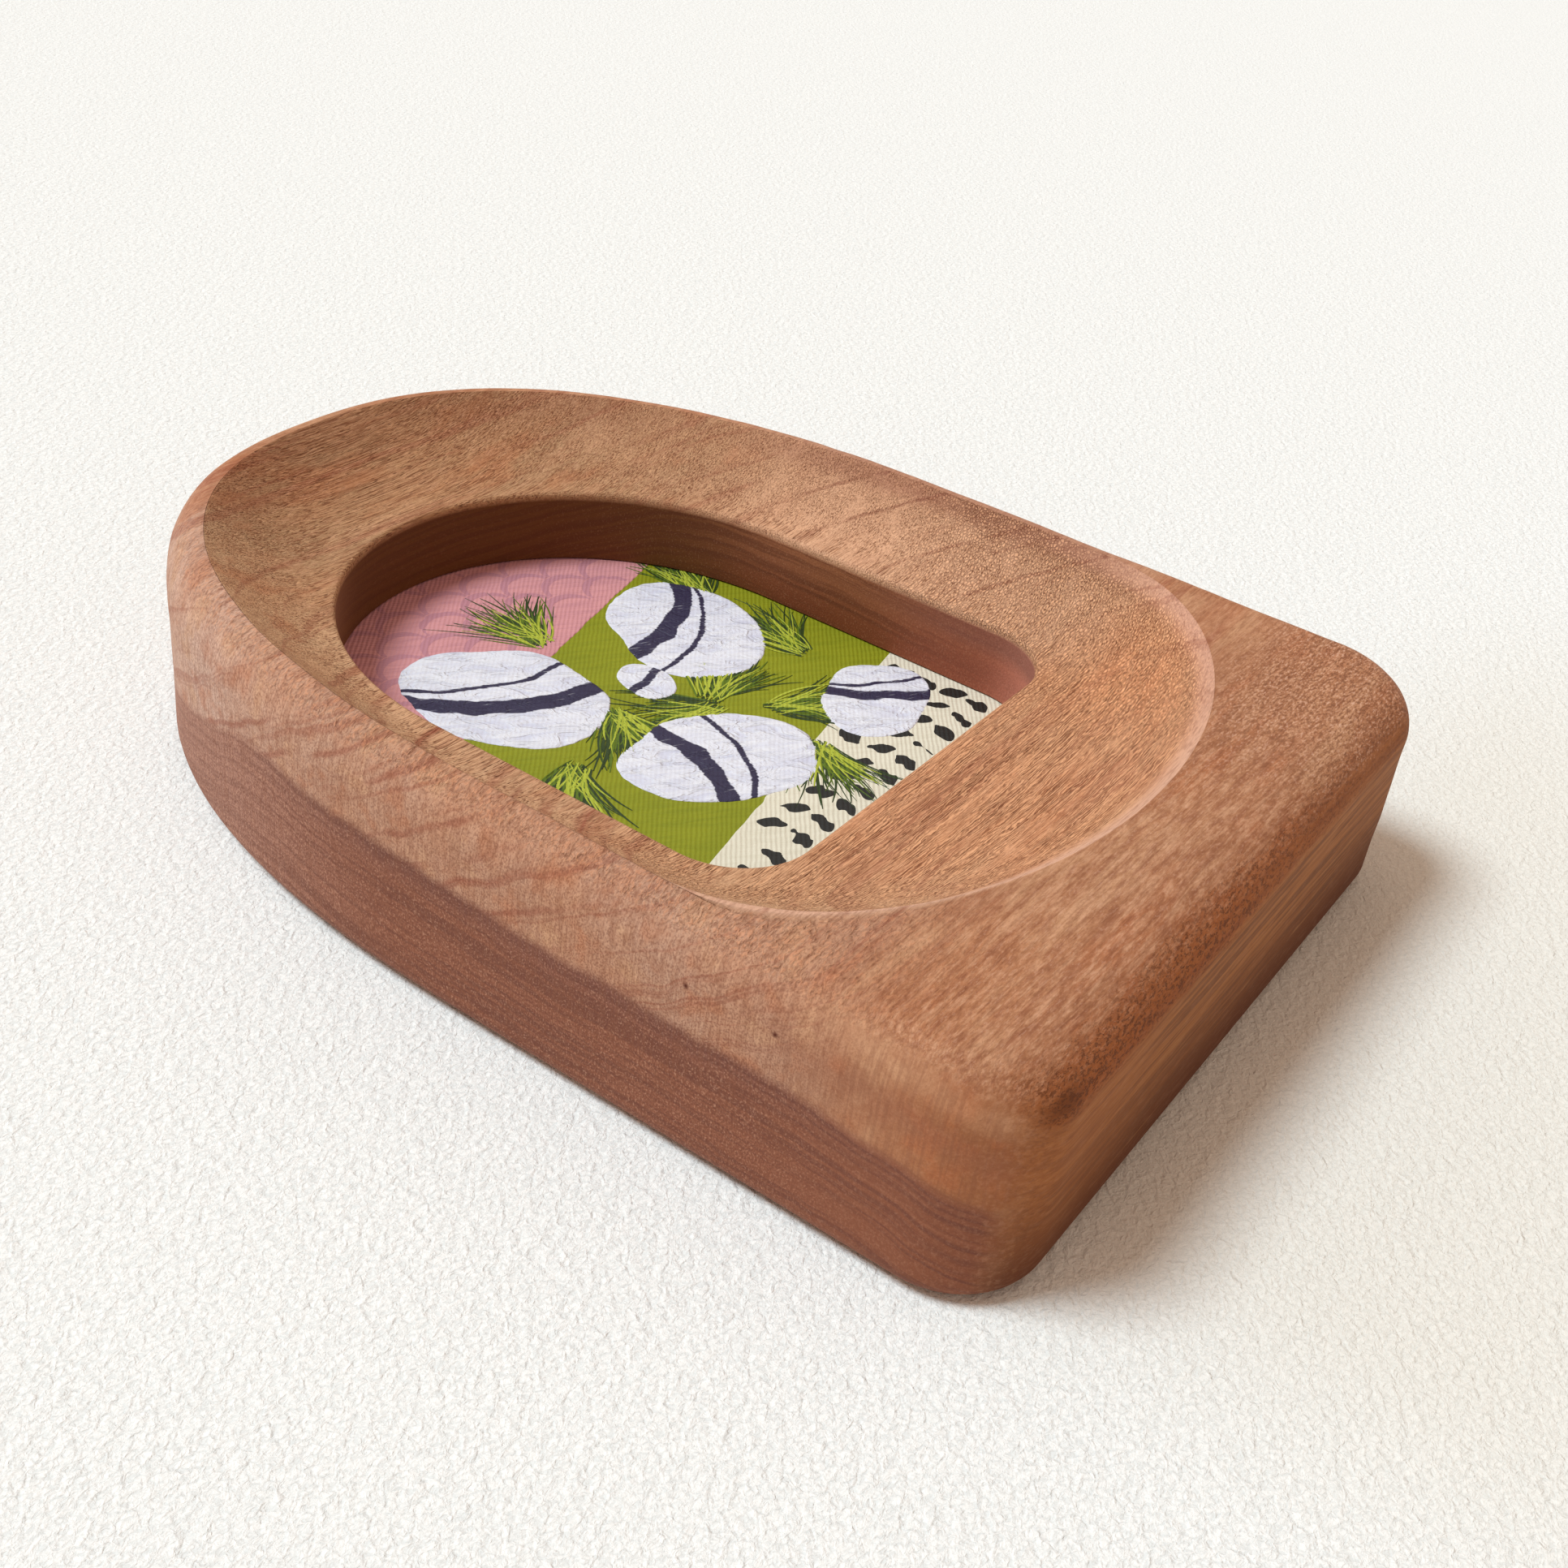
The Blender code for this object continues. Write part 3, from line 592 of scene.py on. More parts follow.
def outer_rings():
    """From the flat back round the outside to the start of the ridge."""
    rings = []
    for step in range(BACK_ROUND_STEPS + 1):
        angle = math.radians(90 * step / BACK_ROUND_STEPS)
        inset = BACK_ROUND * (1 - math.sin(angle))
        rings.append(at_height(outline_loop(inset, inset), BACK_ROUND * (1 - math.cos(angle))))
    low, high = BACK_ROUND, FRONT_Z - FACE_ROUND_HEIGHT
    for step in range(1, SIDE_RINGS):
        rings.append(at_height(outline_loop(0.0, 0.0), low + (high - low) * step / SIDE_RINGS))
    for step in range(FACE_ROUND_STEPS + 1):
        angle = math.radians(90 * step / FACE_ROUND_STEPS)
        share = 1 - math.cos(angle)
        height = FRONT_Z - FACE_ROUND_HEIGHT * (1 - math.sin(angle))
        rings.append(at_height(outline_loop(FACE_ROUND_WIDTH * share, FOOT_ROUND_WIDTH * share), height))
    return rings


def ridge_rings():
    """Across the ridge, and at the foot across the flat land. The last ring lies just outside the rim."""
    start = outline_loop(FACE_ROUND_WIDTH, FOOT_ROUND_WIDTH)
    run = dish_rim_loop() - start
    width = np.linalg.norm(run, axis=1, keepdims=True)
    shares = [np.full_like(width, step / RIDGE_STEPS) for step in range(1, RIDGE_STEPS)]
    shares.append(1 - np.minimum(RIM_SHARPNESS / width, 0.2))
    return [at_height(start + run * share, FRONT_Z) for share in shares]


def dish_rings():
    """From the ridge down to the window's edge, with one slope at the ridge all round."""
    rim = dish_rim_loop()
    run = window_loop(WINDOW_ARRIS) - rim
    flattening = np.maximum(DISH_RIM_SLOPE * np.linalg.norm(run, axis=1) / DISH_DEPTH, 1.0)
    rings = []
    for step in range(DISH_STEPS + 1):
        share = (step / DISH_STEPS) ** DISH_RING_CROWDING
        fall = DISH_DEPTH * (1 - (1 - share) ** flattening)
        rings.append(np.column_stack([rim + run * share, FRONT_Z - fall]))
    return rings


def window_rings():
    """Soft edge of the window and its wall, down to the lip over the canvas."""
    edge_z = FRONT_Z - DISH_DEPTH
    rings = []
    for step in range(1, ARRIS_STEPS + 1):
        angle = math.radians(90 * step / ARRIS_STEPS)
        outset = WINDOW_ARRIS * (1 - math.sin(angle))
        rings.append(at_height(window_loop(outset), edge_z - WINDOW_ARRIS * (1 - math.cos(angle))))
    low, high = LIP_Z, edge_z - WINDOW_ARRIS
    for step in range(1, WALL_RINGS + 1):
        rings.append(at_height(window_loop(0.0), high + (low - high) * step / WALL_RINGS))
    return rings


def rear_rings():
    """Rabbet for the panel and the backing, and the shallow recess round it, with eased edges."""
    return [
        at_height(window_loop(LIP), LIP_Z),
        at_height(window_loop(LIP), RECESS_DEPTH + EASED_EDGE),
        at_height(window_loop(LIP + EASED_EDGE), RECESS_DEPTH),
        at_height(recess_loop(), RECESS_DEPTH),
        at_height(recess_loop(), EASED_EDGE),
        at_height(recess_loop(EASED_EDGE), 0.0),
    ]


def make_mesh(name, verts, faces):
    mesh = bpy.data.meshes.new(name)
    mesh.from_pydata(verts, [], faces)
    return mesh


def smooth(mesh, sharp_angle):
    """Shade a mesh smoothly, apart from edges over an angle in degrees."""
    mesh.shade_smooth()
    mesh.set_sharp_from_angle(angle=math.radians(sharp_angle))
    return mesh


def add_object(name, data):
    """Put new data in the scene."""
    thing = bpy.data.objects.new(name, data)
    bpy.context.scene.collection.objects.link(thing)
    return thing


def grid_mesh(name, grid):
    """Mesh over rings of equal length, closed both round the loops and from the last ring to the first."""
    ring_count, loop_count = grid.shape[:2]
    index = np.arange(ring_count * loop_count).reshape(ring_count, loop_count)
    across = np.roll(index, -1, axis=1)
    up = np.roll(index, -1, axis=0)
    both = np.roll(across, -1, axis=0)
    faces = np.stack([index, across, both, up], axis=-1).reshape(-1, 4)
    return make_mesh(name, grid.reshape(-1, 3), faces.tolist())


def ring_normals(grid):
    """Unit normals of a closed grid of rings, from its neighbours."""
    along = np.roll(grid, -1, axis=1) - np.roll(grid, 1, axis=1)
    up = np.roll(grid, -1, axis=0) - np.roll(grid, 1, axis=0)
    normal = np.cross(along, up)
    return normal / np.maximum(np.linalg.norm(normal, axis=2, keepdims=True), 1e-12)


def soften_crest(grid, crest):
    """Sand the ridge round on the left side below the head, where hands hold the frame."""
    x, y = grid[crest, :, 0], grid[crest, :, 1]
    middle = np.exp(-((y - CREST_MIDDLE_Y) / CREST_SPREAD) ** 2)
    share = CREST_SOFTENING * np.clip(-x / BLOCK_HALF, 0.0, 1.0) * middle
    first, last = crest - CREST_REACH, crest + CREST_REACH + 1
    fade = np.cos(np.linspace(-math.pi / 2, math.pi / 2, last - first))
    for _ in range(CREST_PASSES):
        midway = (grid[first - 1:last - 1] + grid[first + 1:last + 1]) / 2
        grid[first:last] += (midway - grid[first:last]) * share[None, :, None] * fade[:, None, None]
    return grid


def hand_finish(grid, shaped):
    """Small unevenness that sanding by hand leaves on the shaped rings, which are the first ones."""
    normals = ring_normals(grid)
    for ring in range(BACK_ROUND_STEPS, shaped):
        for column in range(grid.shape[1]):
            point = Vector(grid[ring, column]) / MM
            slow = noise.noise(Vector((point.x / 26, point.y / 17, point.z / 9)))
            quick = noise.noise(Vector((point.x / 9 + 31, point.y / 3.2, point.z / 3.2)))
            height = (SLOW_UNEVENNESS * slow + QUICK_UNEVENNESS * quick) * MM
            grid[ring, column] += normals[ring, column] * height
    return grid


def foot_lip(grid, first, count):
    """Share of the smooth lip inside the ridge at the foot, where a paler colour is painted on as a
    highlight: 1 on the ridge and little 4 mm inside it.
    """
    lip = np.zeros(grid.shape[:2])
    rim = grid[first]
    at_foot = np.clip((-rim[:, 1] / MM - 14) / 22, 0.0, 1.0)
    for ring in range(first, first + count):
        inward = np.linalg.norm(grid[ring] - rim, axis=1)
        lip[ring] = at_foot * np.exp(-(inward / LIP_OF_DISH) ** 3)
    return lip


def add_attribute(mesh, name, values):
    attribute = mesh.attributes.new(name, "FLOAT", "POINT")
    attribute.data.foreach_set("value", values.reshape(-1).astype(np.float32))


def carved_block():
    """The whole frame block, as a finer mesh than the solid's."""
    outside = outer_rings() + ridge_rings()
    dish = dish_rings()
    grid = np.array(outside + dish + window_rings() + rear_rings())
    rim = len(outside)
    shaped = rim + len(dish)
    grid = hand_finish(soften_crest(grid, rim), shaped)
    mesh = grid_mesh("carved_block", grid)
    inside = np.zeros(grid.shape[:2])
    inside[rim:] = 1.0
    in_wall = np.zeros(grid.shape[:2])
    in_wall[shaped + ARRIS_STEPS:shaped + ARRIS_STEPS + WALL_RINGS + 1] = 1.0
    add_attribute(mesh, "dish", inside)
    add_attribute(mesh, "wall", in_wall)
    add_attribute(mesh, "lip", foot_lip(grid, rim, len(dish)))
    bm = bmesh.new()
    bm.from_mesh(mesh)
    bmesh.ops.recalc_face_normals(bm, faces=bm.faces)
    bm.to_mesh(mesh)
    bm.free()
    return smooth(mesh, 40)


def show(mesh, material, replaced=()):
    """Put a mesh in the scene as a piece that rides on the frame."""
    mesh.materials.append(material)
    piece = add_object(mesh.name, mesh)
    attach(piece, "frame")
    if replaced:
        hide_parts(*replaced)


def refinish(node, material):
    """Give a solid another material."""
    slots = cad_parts[node].data.materials
    slots.clear()
    slots.append(material)


# Painting: pebbles, short dashes and long grass strokes on blocks of flat colour

WEAVE_TURN = math.radians(36.0)
RIBS_PER_CELL = 0.74
RIB_HEIGHT = 0.032
THREAD_HEIGHT = 0.012
PAINT_UNDER_LIP = 2.0 * MM
PATCH_THICKNESS = 0.10 * MM
PATCH_RELIEF = 0.15 * MM
PATCH_EDGE = 0.94
PATCH_FOOT = 0.01 * MM
PATCH_RINGS = 64
PATCH_SPOKES = 240
PEBBLE_LIFT = 0.02 * MM
COLOUR_BLOCK_THICKNESS = 0.04 * MM
BLADE_HEIGHT = 0.05 * MM
DASH_HEIGHT = 0.04 * MM
DASH_LIFT = 0.03 * MM
DASH_MARGIN = 1.2 * MM
SCALLOP_HEIGHT = 0.015 * MM
SCALLOP_LIFT = 0.05 * MM
SCALLOP_WIDTH = 1.5 * MM
SCALLOP_RADIUS = 4.5
SCALLOP_STEPS = 20
# Centre, half length and half width in millimetres, and turn in degrees
PEBBLES = (
    (23.0, 22.0, 16.0, 12.5, 60.0),
    (-14.0, 28.0, 13.5, 16.5, 20.0),
    (-4.0, -5.0, 16.0, 11.5, -25.0),
    (27.0, -13.0, 11.5, 8.5, 15.0),
    (5.0, 16.0, 5.5, 4.2, 70.0),
)
# Turn in degrees, offset and half width in millimetres of the dark bands across each pebble
PEBBLE_BANDS = (
    ((20.0, 2.5, 1.7), (28.0, -2.6, 0.45)),
    ((-35.0, -3.0, 1.9), (-24.0, 3.4, 0.5)),
    ((70.0, 3.0, 1.6), (58.0, -3.5, 0.5)),
    ((-50.0, 1.0, 1.3), (-40.0, 4.4, 0.4)),
    ((10.0, 0.0, 0.7),),
)
PINK_CENTRE = (0.0, 50 * MM)
PINK_EDGE = ((0.24, -0.97), -30.5 * MM)
CREAM_CENTRE = (0.0, -29 * MM)
CREAM_EDGE = ((-0.196, 0.981), -14.5 * MM)


def paint_layer(name, colour, darker, stroke_share, relief, cloth_shown=1.0):
    """Colour and relief of thick matte paint with brush marks over coarse, ribbed cloth, with painted shade
    in the valleys between the ribs.
    """
    n = Nodes(name)
    u, v, _ = n.split(n.cells((0.70, 0.52, 1.0), turn=(0.0, 0.0, -WEAVE_TURN)))
    wobble = n.noise((3.0, 3.0, 3.0)) * 0.8
    rib_with_shade = n.math("SINE", (v + wobble) * (2 * math.pi * RIBS_PER_CELL))
    thread = n.math("SINE", u * (2 * math.pi))
    marks = n.noise((7.0, 1.1, 2.0), 3.0, 0.6, 0.4, turn=(0, 0, 0.6))
    spots = n.noise((9.0, 9.0, 9.0))
    shade = n.coats(rgb(*colour), [
        (marks.rise(0.35, 0.75, 0.0, stroke_share), *darker),
        (spots.rise(0.4, 0.7, 0.0, 0.4 * stroke_share), *darker),
        # Painted shade in the valleys between the cloth's ribs.
        (rib_with_shade.rise(-1.0, 0.2, 0.14 * cloth_shown, 0.0), *darker),
    ])
    cloth = rib_with_shade * (RIB_HEIGHT * cloth_shown) + thread * (THREAD_HEIGHT * cloth_shown)
    return n, shade, cloth + marks * relief


def plain_paint(name, colour, darker, stroke_share=0.5, relief=0.06):
    n, shade, height = paint_layer(name, colour, darker, stroke_share, relief)
    return n.finish(shade, 0.6, height, specular=0.3)


def pebble_paint():
    """White paint crossed by dark bands, whose ragged edges lie where the band attribute is 0."""
    n, shade, height = paint_layer("paint_pebble", (230, 231, 238), (196, 198, 220), 0.5, 0.05, 0.35)
    folds = n.noise((6.5, 3.4, 2.0), 3.0, 0.6, 1.2, turn=(0, 0, 0.9))
    crease = abs(folds - 0.5).fall(0.0, 0.08)
    ragged = n.noise((2.4, 0.5, 1.0), 3.0, 0.6, turn=(0, 0, 0.9)) - 0.5
    dry = n.noise((5.0, 0.35, 1.0), 3.0, 0.6, turn=(0, 0, 0.5))
    dark = (n.attribute("band") + ragged * 0.9).fall(-0.12, 0.12) * dry.fall(0.62, 0.72, 0.45)
    shade = n.coats(shade, [(folds.rise(0.36, 0.48, 0.45, 0.0), 198, 200, 222), (dark, 46, 40, 66)])
    return n.finish(shade, 0.55, height + folds * 0.7 + crease * 0.10, specular=0.3)


def polar_mesh(name, centre, radii, relief, low_z, thickness):
    """Thin closed patch round a centre: its top is a fine grid with relief, its edge falls off softly."""
    spokes = len(radii)
    turns = 2 * math.pi * np.arange(spokes) / spokes
    verts = [(*centre, low_z + thickness + relief(*centre, 0.0, 0.0))]
    for ring in range(1, PATCH_RINGS + 1):
        share = ring / PATCH_RINGS
        fall = 1.0 - max(0.0, (share - PATCH_EDGE) / (1 - PATCH_EDGE)) ** 2
        for turn, radius in zip(turns, radii):
            x = centre[0] + radius * share * math.cos(turn)
            y = centre[1] + radius * share * math.sin(turn)
            verts.append((x, y, low_z + fall * (thickness + relief(x, y, share, turn))))
    start = 1 + (PATCH_RINGS - 1) * spokes
    bottom = len(verts)
    verts += [(x, y, low_z - PATCH_FOOT) for x, y, _ in verts[start:start + spokes]]
    faces = []
    for index in range(spokes):
        after = (index + 1) % spokes
        faces.append((0, 1 + index, 1 + after))
        for ring in range(PATCH_RINGS - 1):
            low = 1 + ring * spokes
            high = low + spokes
            faces.append((low + index, high + index, high + after, low + after))
        faces.append((start + index, bottom + index, bottom + after, start + after))
    faces.append(tuple(bottom + index for index in reversed(range(spokes))))
    mesh = make_mesh(name, verts, faces)
    mesh.shade_smooth()
    return mesh


def brushed(x, y, share, turn):
    """Creases and ridges of thick paint laid on with a knife and a round brush."""
    point = Vector((x, y, 0.0)) / MM
    sweep = noise.noise(Vector((share * 6.0, math.cos(turn) * 1.6, math.sin(turn) * 1.6)))
    crease = abs(noise.noise(point / 4.2 + Vector((2.0 * sweep, 3.0, 0.0))))
    fold = abs(noise.noise(point / 1.9 + Vector((7.0, 1.4 * sweep, 2.0))))
    hairs = noise.noise(Vector((share * 46.0, math.cos(turn) * 5.0, math.sin(turn) * 5.0)))
    level = 0.55 + 0.3 * sweep - 0.9 * min(crease, 0.3) - 0.35 * min(fold, 0.3) + 0.07 * hairs
    return PATCH_RELIEF * min(max(level, 0.0), 1.0)


def band_field(x, y, number):
    """Distance in millimetres to the nearest dark band of a pebble, below 0 inside it."""
    centre_x, centre_y = PEBBLES[number - 1][:2]
    along_x, along_y = x / MM - centre_x, y / MM - centre_y
    best = 99.0
    for turn, offset, half_width in PEBBLE_BANDS[number - 1]:
        angle = math.radians(turn)
        run = along_x * math.cos(angle) + along_y * math.sin(angle)
        across = along_y * math.cos(angle) - along_x * math.sin(angle)
        bow = 0.018 * run * run + 0.7 * noise.noise(Vector((run / 5, offset, number)))
        width = half_width * (1 + 0.3 * noise.noise(Vector((run / 4, offset + 5, number))))
        best = min(best, abs(across - offset - bow) - width)
    return best


def pebble_radii(half_length, half_width, turn, seed):
    """Radius round a smooth, slightly uneven oval."""
    radii = []
    for index in range(PATCH_SPOKES):
        angle = 2 * math.pi * index / PATCH_SPOKES
        local = angle - turn
        oval = 1 / math.hypot(math.cos(local) / half_length, math.sin(local) / half_width)
        wave = noise.noise(Vector((1.3 * math.cos(angle), 1.3 * math.sin(angle), seed)))
        hand = noise.noise(Vector((9 * math.cos(angle), 9 * math.sin(angle), seed)))
        radii.append(oval * (1 + 0.13 * wave + 0.012 * hand) * MM)
    return radii


def joined(name, meshes):
    """One mesh from several."""
    bm = bmesh.new()
    for mesh in meshes:
        bm.from_mesh(mesh)
    whole = bpy.data.meshes.new(name)
    bm.to_mesh(whole)
    bm.free()
    return smooth(whole, 45)


def reach_to_loop(loop, centre, ray):
    """Distance from a centre along a ray to a closed loop round it."""
    ends = loop - np.array(centre)
    side = ends[:, 0] * ray[1] - ends[:, 1] * ray[0]
    side_after = np.roll(side, -1)
    after = np.roll(ends, -1, axis=0)
    reach = []
    for item in np.nonzero(side * side_after <= 0)[0]:
        gap = side[item] - side_after[item]
        share = side[item] / gap if gap else 0.0
        reach.append(float((ends[item] + (after[item] - ends[item]) * share) @ ray))
    return max(reach)


def clipped_radii(centre, edge):
    """Radius from a centre to the canvas's hidden margin or, where that is nearer, to a straight edge."""
    loop = window_loop(PAINT_UNDER_LIP)
    normal, distance = edge
    room = distance - (centre[0] * normal[0] + centre[1] * normal[1])
    radii = []
    for index in range(PATCH_SPOKES):
        angle = 2 * math.pi * index / PATCH_SPOKES
        ray = np.array([math.cos(angle), math.sin(angle)])
        best = reach_to_loop(loop, centre, ray)
        toward = ray[0] * normal[0] + ray[1] * normal[1]
        if toward > 0.01:
            wobble = 0.3 * MM * noise.noise(Vector((7 * math.cos(angle), 7 * math.sin(angle), 2.0)))
            best = min(best, room / toward + wobble)
        radii.append(best)
    return radii


def colour_block(name, centre, edge, low_z):
    def relief(x, y, share, turn):
        return 0.25 * PATCH_RELIEF * noise.noise(Vector((x / (6 * MM), y / (1.5 * MM), 4.0)))

    radii = clipped_radii(centre, edge)
    return polar_mesh(name, centre, radii, relief, low_z, COLOUR_BLOCK_THICKNESS)


def stroke(points, wide, shares, low_z, height):
    """Closed low stroke through points, as wide at each as its share of the widest."""
    count = len(points)
    verts = []
    for index, point in enumerate(points):
        before, after = points[max(index - 1, 0)], points[min(index + 1, count - 1)]
        along = (after - before).normalized()
        side = Vector((-along.y, along.x)) * (wide * shares[index] / 2)
        verts += [(*(point + side), low_z), (*point, low_z + height), (*(point - side), low_z)]
    faces = [(0, 2, 1)]
    for index in range(count - 1):
        low, high = 3 * index, 3 * index + 3
        faces += [(low, low + 1, high + 1, high), (low + 1, low + 2, high + 2, high + 1)]
        faces.append((low + 2, low, high, high + 2))
    last = 3 * (count - 1)
    faces.append((last, last + 1, last + 2))
    return make_mesh("stroke", verts, faces)


def bent_line(start, heading, length, bend, count=12):
    """Points of an arc that starts at a place with a heading and turns by bend on its way."""
    points = [Vector(start)]
    for index in range(count):
        angle = heading + bend * (index / count - 0.3)
        points.append(points[-1] + Vector((math.cos(angle), math.sin(angle))) * length / count)
    return points


def swell(count, least, start, end, power=1.0):
    """Width at each point of a stroke, as a share of its widest: an arc of a sine over a least share."""
    turns = [start + (end - start) * index / (count - 1) for index in range(count)]
    return [least + (1 - least) * math.sin(math.pi * turn) ** power for turn in turns]


def on_canvas(point):
    """Whether a point lies in the window or in the margin that its lip hides."""
    x, y = point
    spring = WINDOW_HEAD - WINDOW_ARCH_RISE
    half, rise = WINDOW_HALF + PAINT_UNDER_LIP, WINDOW_ARCH_RISE + PAINT_UNDER_LIP
    if y < spring:
        return abs(x) < half and y > WINDOW_FOOT - PAINT_UNDER_LIP
    return math.hypot(x / half, (y - spring) / rise) < 1


def within(edge, point, margin=0.0):
    """Whether a point lies on the inner side of a block's straight edge."""
    (x, y), distance = edge
    return point.x * x + point.y * y < distance - margin


def grass(draw, base, heading, blades, spread, low_z, length):
    """Fan of thin painted blades from one base."""
    meshes = []
    for _ in range(blades):
        angle = math.radians(heading + draw(-spread, spread))
        reach = length * draw(0.45, 1.0) * MM
        start = Vector(base) * MM + Vector((draw(-2, 2), draw(-2, 2))) * MM
        points = bent_line(start, angle, reach, math.radians(draw(-45, 45)))
        points = [point for point in points if on_canvas(point)]
        wide = draw(0.22, 0.50) * MM
        if len(points) > 3:
            shares = swell(len(points), 0.25, 0.12, 0.97)
            meshes.append(stroke(points, wide, shares, low_z, BLADE_HEIGHT))
    return meshes


def dashes(draw, low_z):
    """Short fat brush marks in loose rows over the cream block."""
    meshes = []
    for row in range(8):
        for column in range(16):
            x = -42.0 + 5.6 * column + 2.8 * (row % 2) + draw(-0.3, 0.3)
            y = -38.0 + 5.0 * row + draw(-0.3, 0.3)
            angle = math.radians((62, 118)[row % 2] + draw(-9, 9))
            points = bent_line(Vector((x, y)) * MM, angle, draw(4.3, 4.9) * MM, 0.4, 16)
            wide = draw(2.9, 3.5) * MM
            if all(on_canvas(point) and within(CREAM_EDGE, point, DASH_MARGIN) for point in points):
                shares = swell(len(points), 0.0, 0.03, 0.97, 0.7)
                meshes.append(stroke(points, wide, shares, low_z, DASH_HEIGHT))
    return meshes


def scallops(low_z):
    """Rows of faint arcs, like fish scales, over the pink block."""
    meshes = []
    count = SCALLOP_STEPS + 1
    shares = swell(count, 0.45, 0.0, 1.0)
    angles = [math.pi * (0.04 + 0.92 * step / SCALLOP_STEPS) for step in range(count)]
    arc = [Vector((math.cos(angle), math.sin(angle))) * SCALLOP_RADIUS for angle in angles]
    for row in range(12):
        for column in range(-5, 6):
            middle = Vector((9.6 * (column + 0.5 * (row % 2)), 24.0 + 4.9 * row))
            points = [(middle + point) * MM for point in arc]
            if all(on_canvas(point) and within(PINK_EDGE, point) for point in points):
                meshes.append(stroke(points, SCALLOP_WIDTH, shares, low_z, SCALLOP_HEIGHT))
    return meshes


def colour_blocks(base, draw):
    """Green ground, and the pink and cream blocks with their patterns."""
    refinish("painted_canvas", plain_paint("paint_field", (138, 142, 22), (112, 120, 12), 0.45))
    pink = plain_paint("paint_pink", (214, 150, 152), (184, 126, 136), 0.6)
    mauve = plain_paint("paint_mauve", (190, 132, 142), (178, 122, 136))
    cream = plain_paint("paint_cream", (226, 220, 200), (204, 197, 174), 0.4)
    black = plain_paint("paint_black", (36, 33, 30), (24, 22, 20), 0.5, 0.03)
    layers = (
        (colour_block("paint_pink_block", PINK_CENTRE, PINK_EDGE, base), pink),
        (joined("paint_scallops", scallops(base + SCALLOP_LIFT)), mauve),
        (colour_block("paint_cream_block", CREAM_CENTRE, CREAM_EDGE, base), cream),
        (joined("paint_dashes", dashes(draw, base + DASH_LIFT)), black),
    )
    for mesh, paint in layers:
        show(mesh, paint)


# Base, heading and spread of the tufts, in millimetres and degrees
TUFTS = ((6, 4, 150, 38), (9, 6, 15, 40), (-6, 13, 240, 36), (14, -3, 320, 34), (31, 5, 70, 40),
         (2, 36, 80, 44), (-22, 8, 215, 34), (9, -14, 235, 34), (34, 28, 60, 34))
# Name, two colours, number of blades, their length and their height over the ground
GRASSES = (("paint_grass", (44, 60, 16), (28, 42, 12), 60, 17.0, 0.05),
           ("paint_grass_middle", (92, 112, 18), (70, 90, 14), 26, 15.0, 0.07),
           ("paint_grass_lights", (176, 184, 62), (150, 162, 40), 20, 13.0, 0.09))


def all_grass(base, draw):
    """Tufts of fine blades in three greens."""
    for name, colour, darker, blades, length, lift in GRASSES:
        meshes = []
        for x, y, heading, spread in TUFTS:
            meshes += grass(draw, (x, y), heading, blades, spread, base + lift * MM, length)
        show(joined(name, meshes), plain_paint(name, colour, darker, 0.5, 0.03))


def painting():
    """The painted layers, from the ground up."""
    draw = random.Random(5).uniform
    base = CANVAS_HIGH.z
    colour_blocks(base, draw)
    all_grass(base, draw)
    white = pebble_paint()
    for number, (x, y, half_length, half_width, turn) in enumerate(PEBBLES, 1):
        radii = pebble_radii(half_length, half_width, math.radians(turn), number)
        name = f"paint_pebble_{number}"
        mesh = polar_mesh(name, (x * MM, y * MM), radii, brushed, base + PEBBLE_LIFT, PATCH_THICKNESS)
        field = np.array([band_field(vertex.co.x, vertex.co.y, number) for vertex in mesh.vertices])
        add_attribute(mesh, "band", field)
        show(mesh, white)


# Boards and metal

SCREW_HEAD_RADIUS = 3.0 * MM
SCREW_HEAD_HEIGHT = 1.6 * MM
SCREW_HEAD_SIDE = 0.55 * MM
SCREW_SHANK = 1.5 * MM
SCREW_LENGTH = 12.0 * MM
SCREW_POINT_LENGTH = 4.0 * MM
SCREW_TURNS = (78, 139, 200, 261)
CROSS_LENGTH = 3.4 * MM
CROSS_WIDTH = 0.75 * MM
CROSS_DEPTH = 0.9 * MM
NAIL_HEAD_RADIUS = 1.8 * MM
NAIL_HEAD_HEIGHT = 0.7 * MM
NAIL_SHANK = 0.8 * MM
NAIL_LENGTH = 9.0 * MM
NAIL_POINT_LENGTH = 1.6 * MM
NAIL_TURNS = (0, 0)
FINE_EDGE = 0.1 * MM
TURNED_SIDES = 48


def board_material(name, colour, darker, lighter, fibre_length):
    """Pressed or sawn board with fine fibres."""
    n = Nodes(name)
    fibres = n.noise((fibre_length, fibre_length * 0.4, 2.0), 4.0, 0.65, 0.8, turn=(0, 0, 0.3))
    flecks = n.voronoi((2.2, 0.9, 2.0), turn=(0, 0, 1.1))
    clouds = n.noise((22.0, 22.0, 22.0), 3.0)
    shade = n.coats(rgb(*colour), [
        (fibres.rise(0.38, 0.62), *darker),
        (flecks.rise(0.05, 0.3, 0.5, 0.0), *lighter),
        (clouds.rise(0.4, 0.65, 0.0, 0.3), *darker),
    ])
    rough = fibres.rise(0.3, 0.7, 0.55, 0.75)
    return n.finish(shade, rough, fibres * 0.05 + flecks * 0.02, specular=0.35)


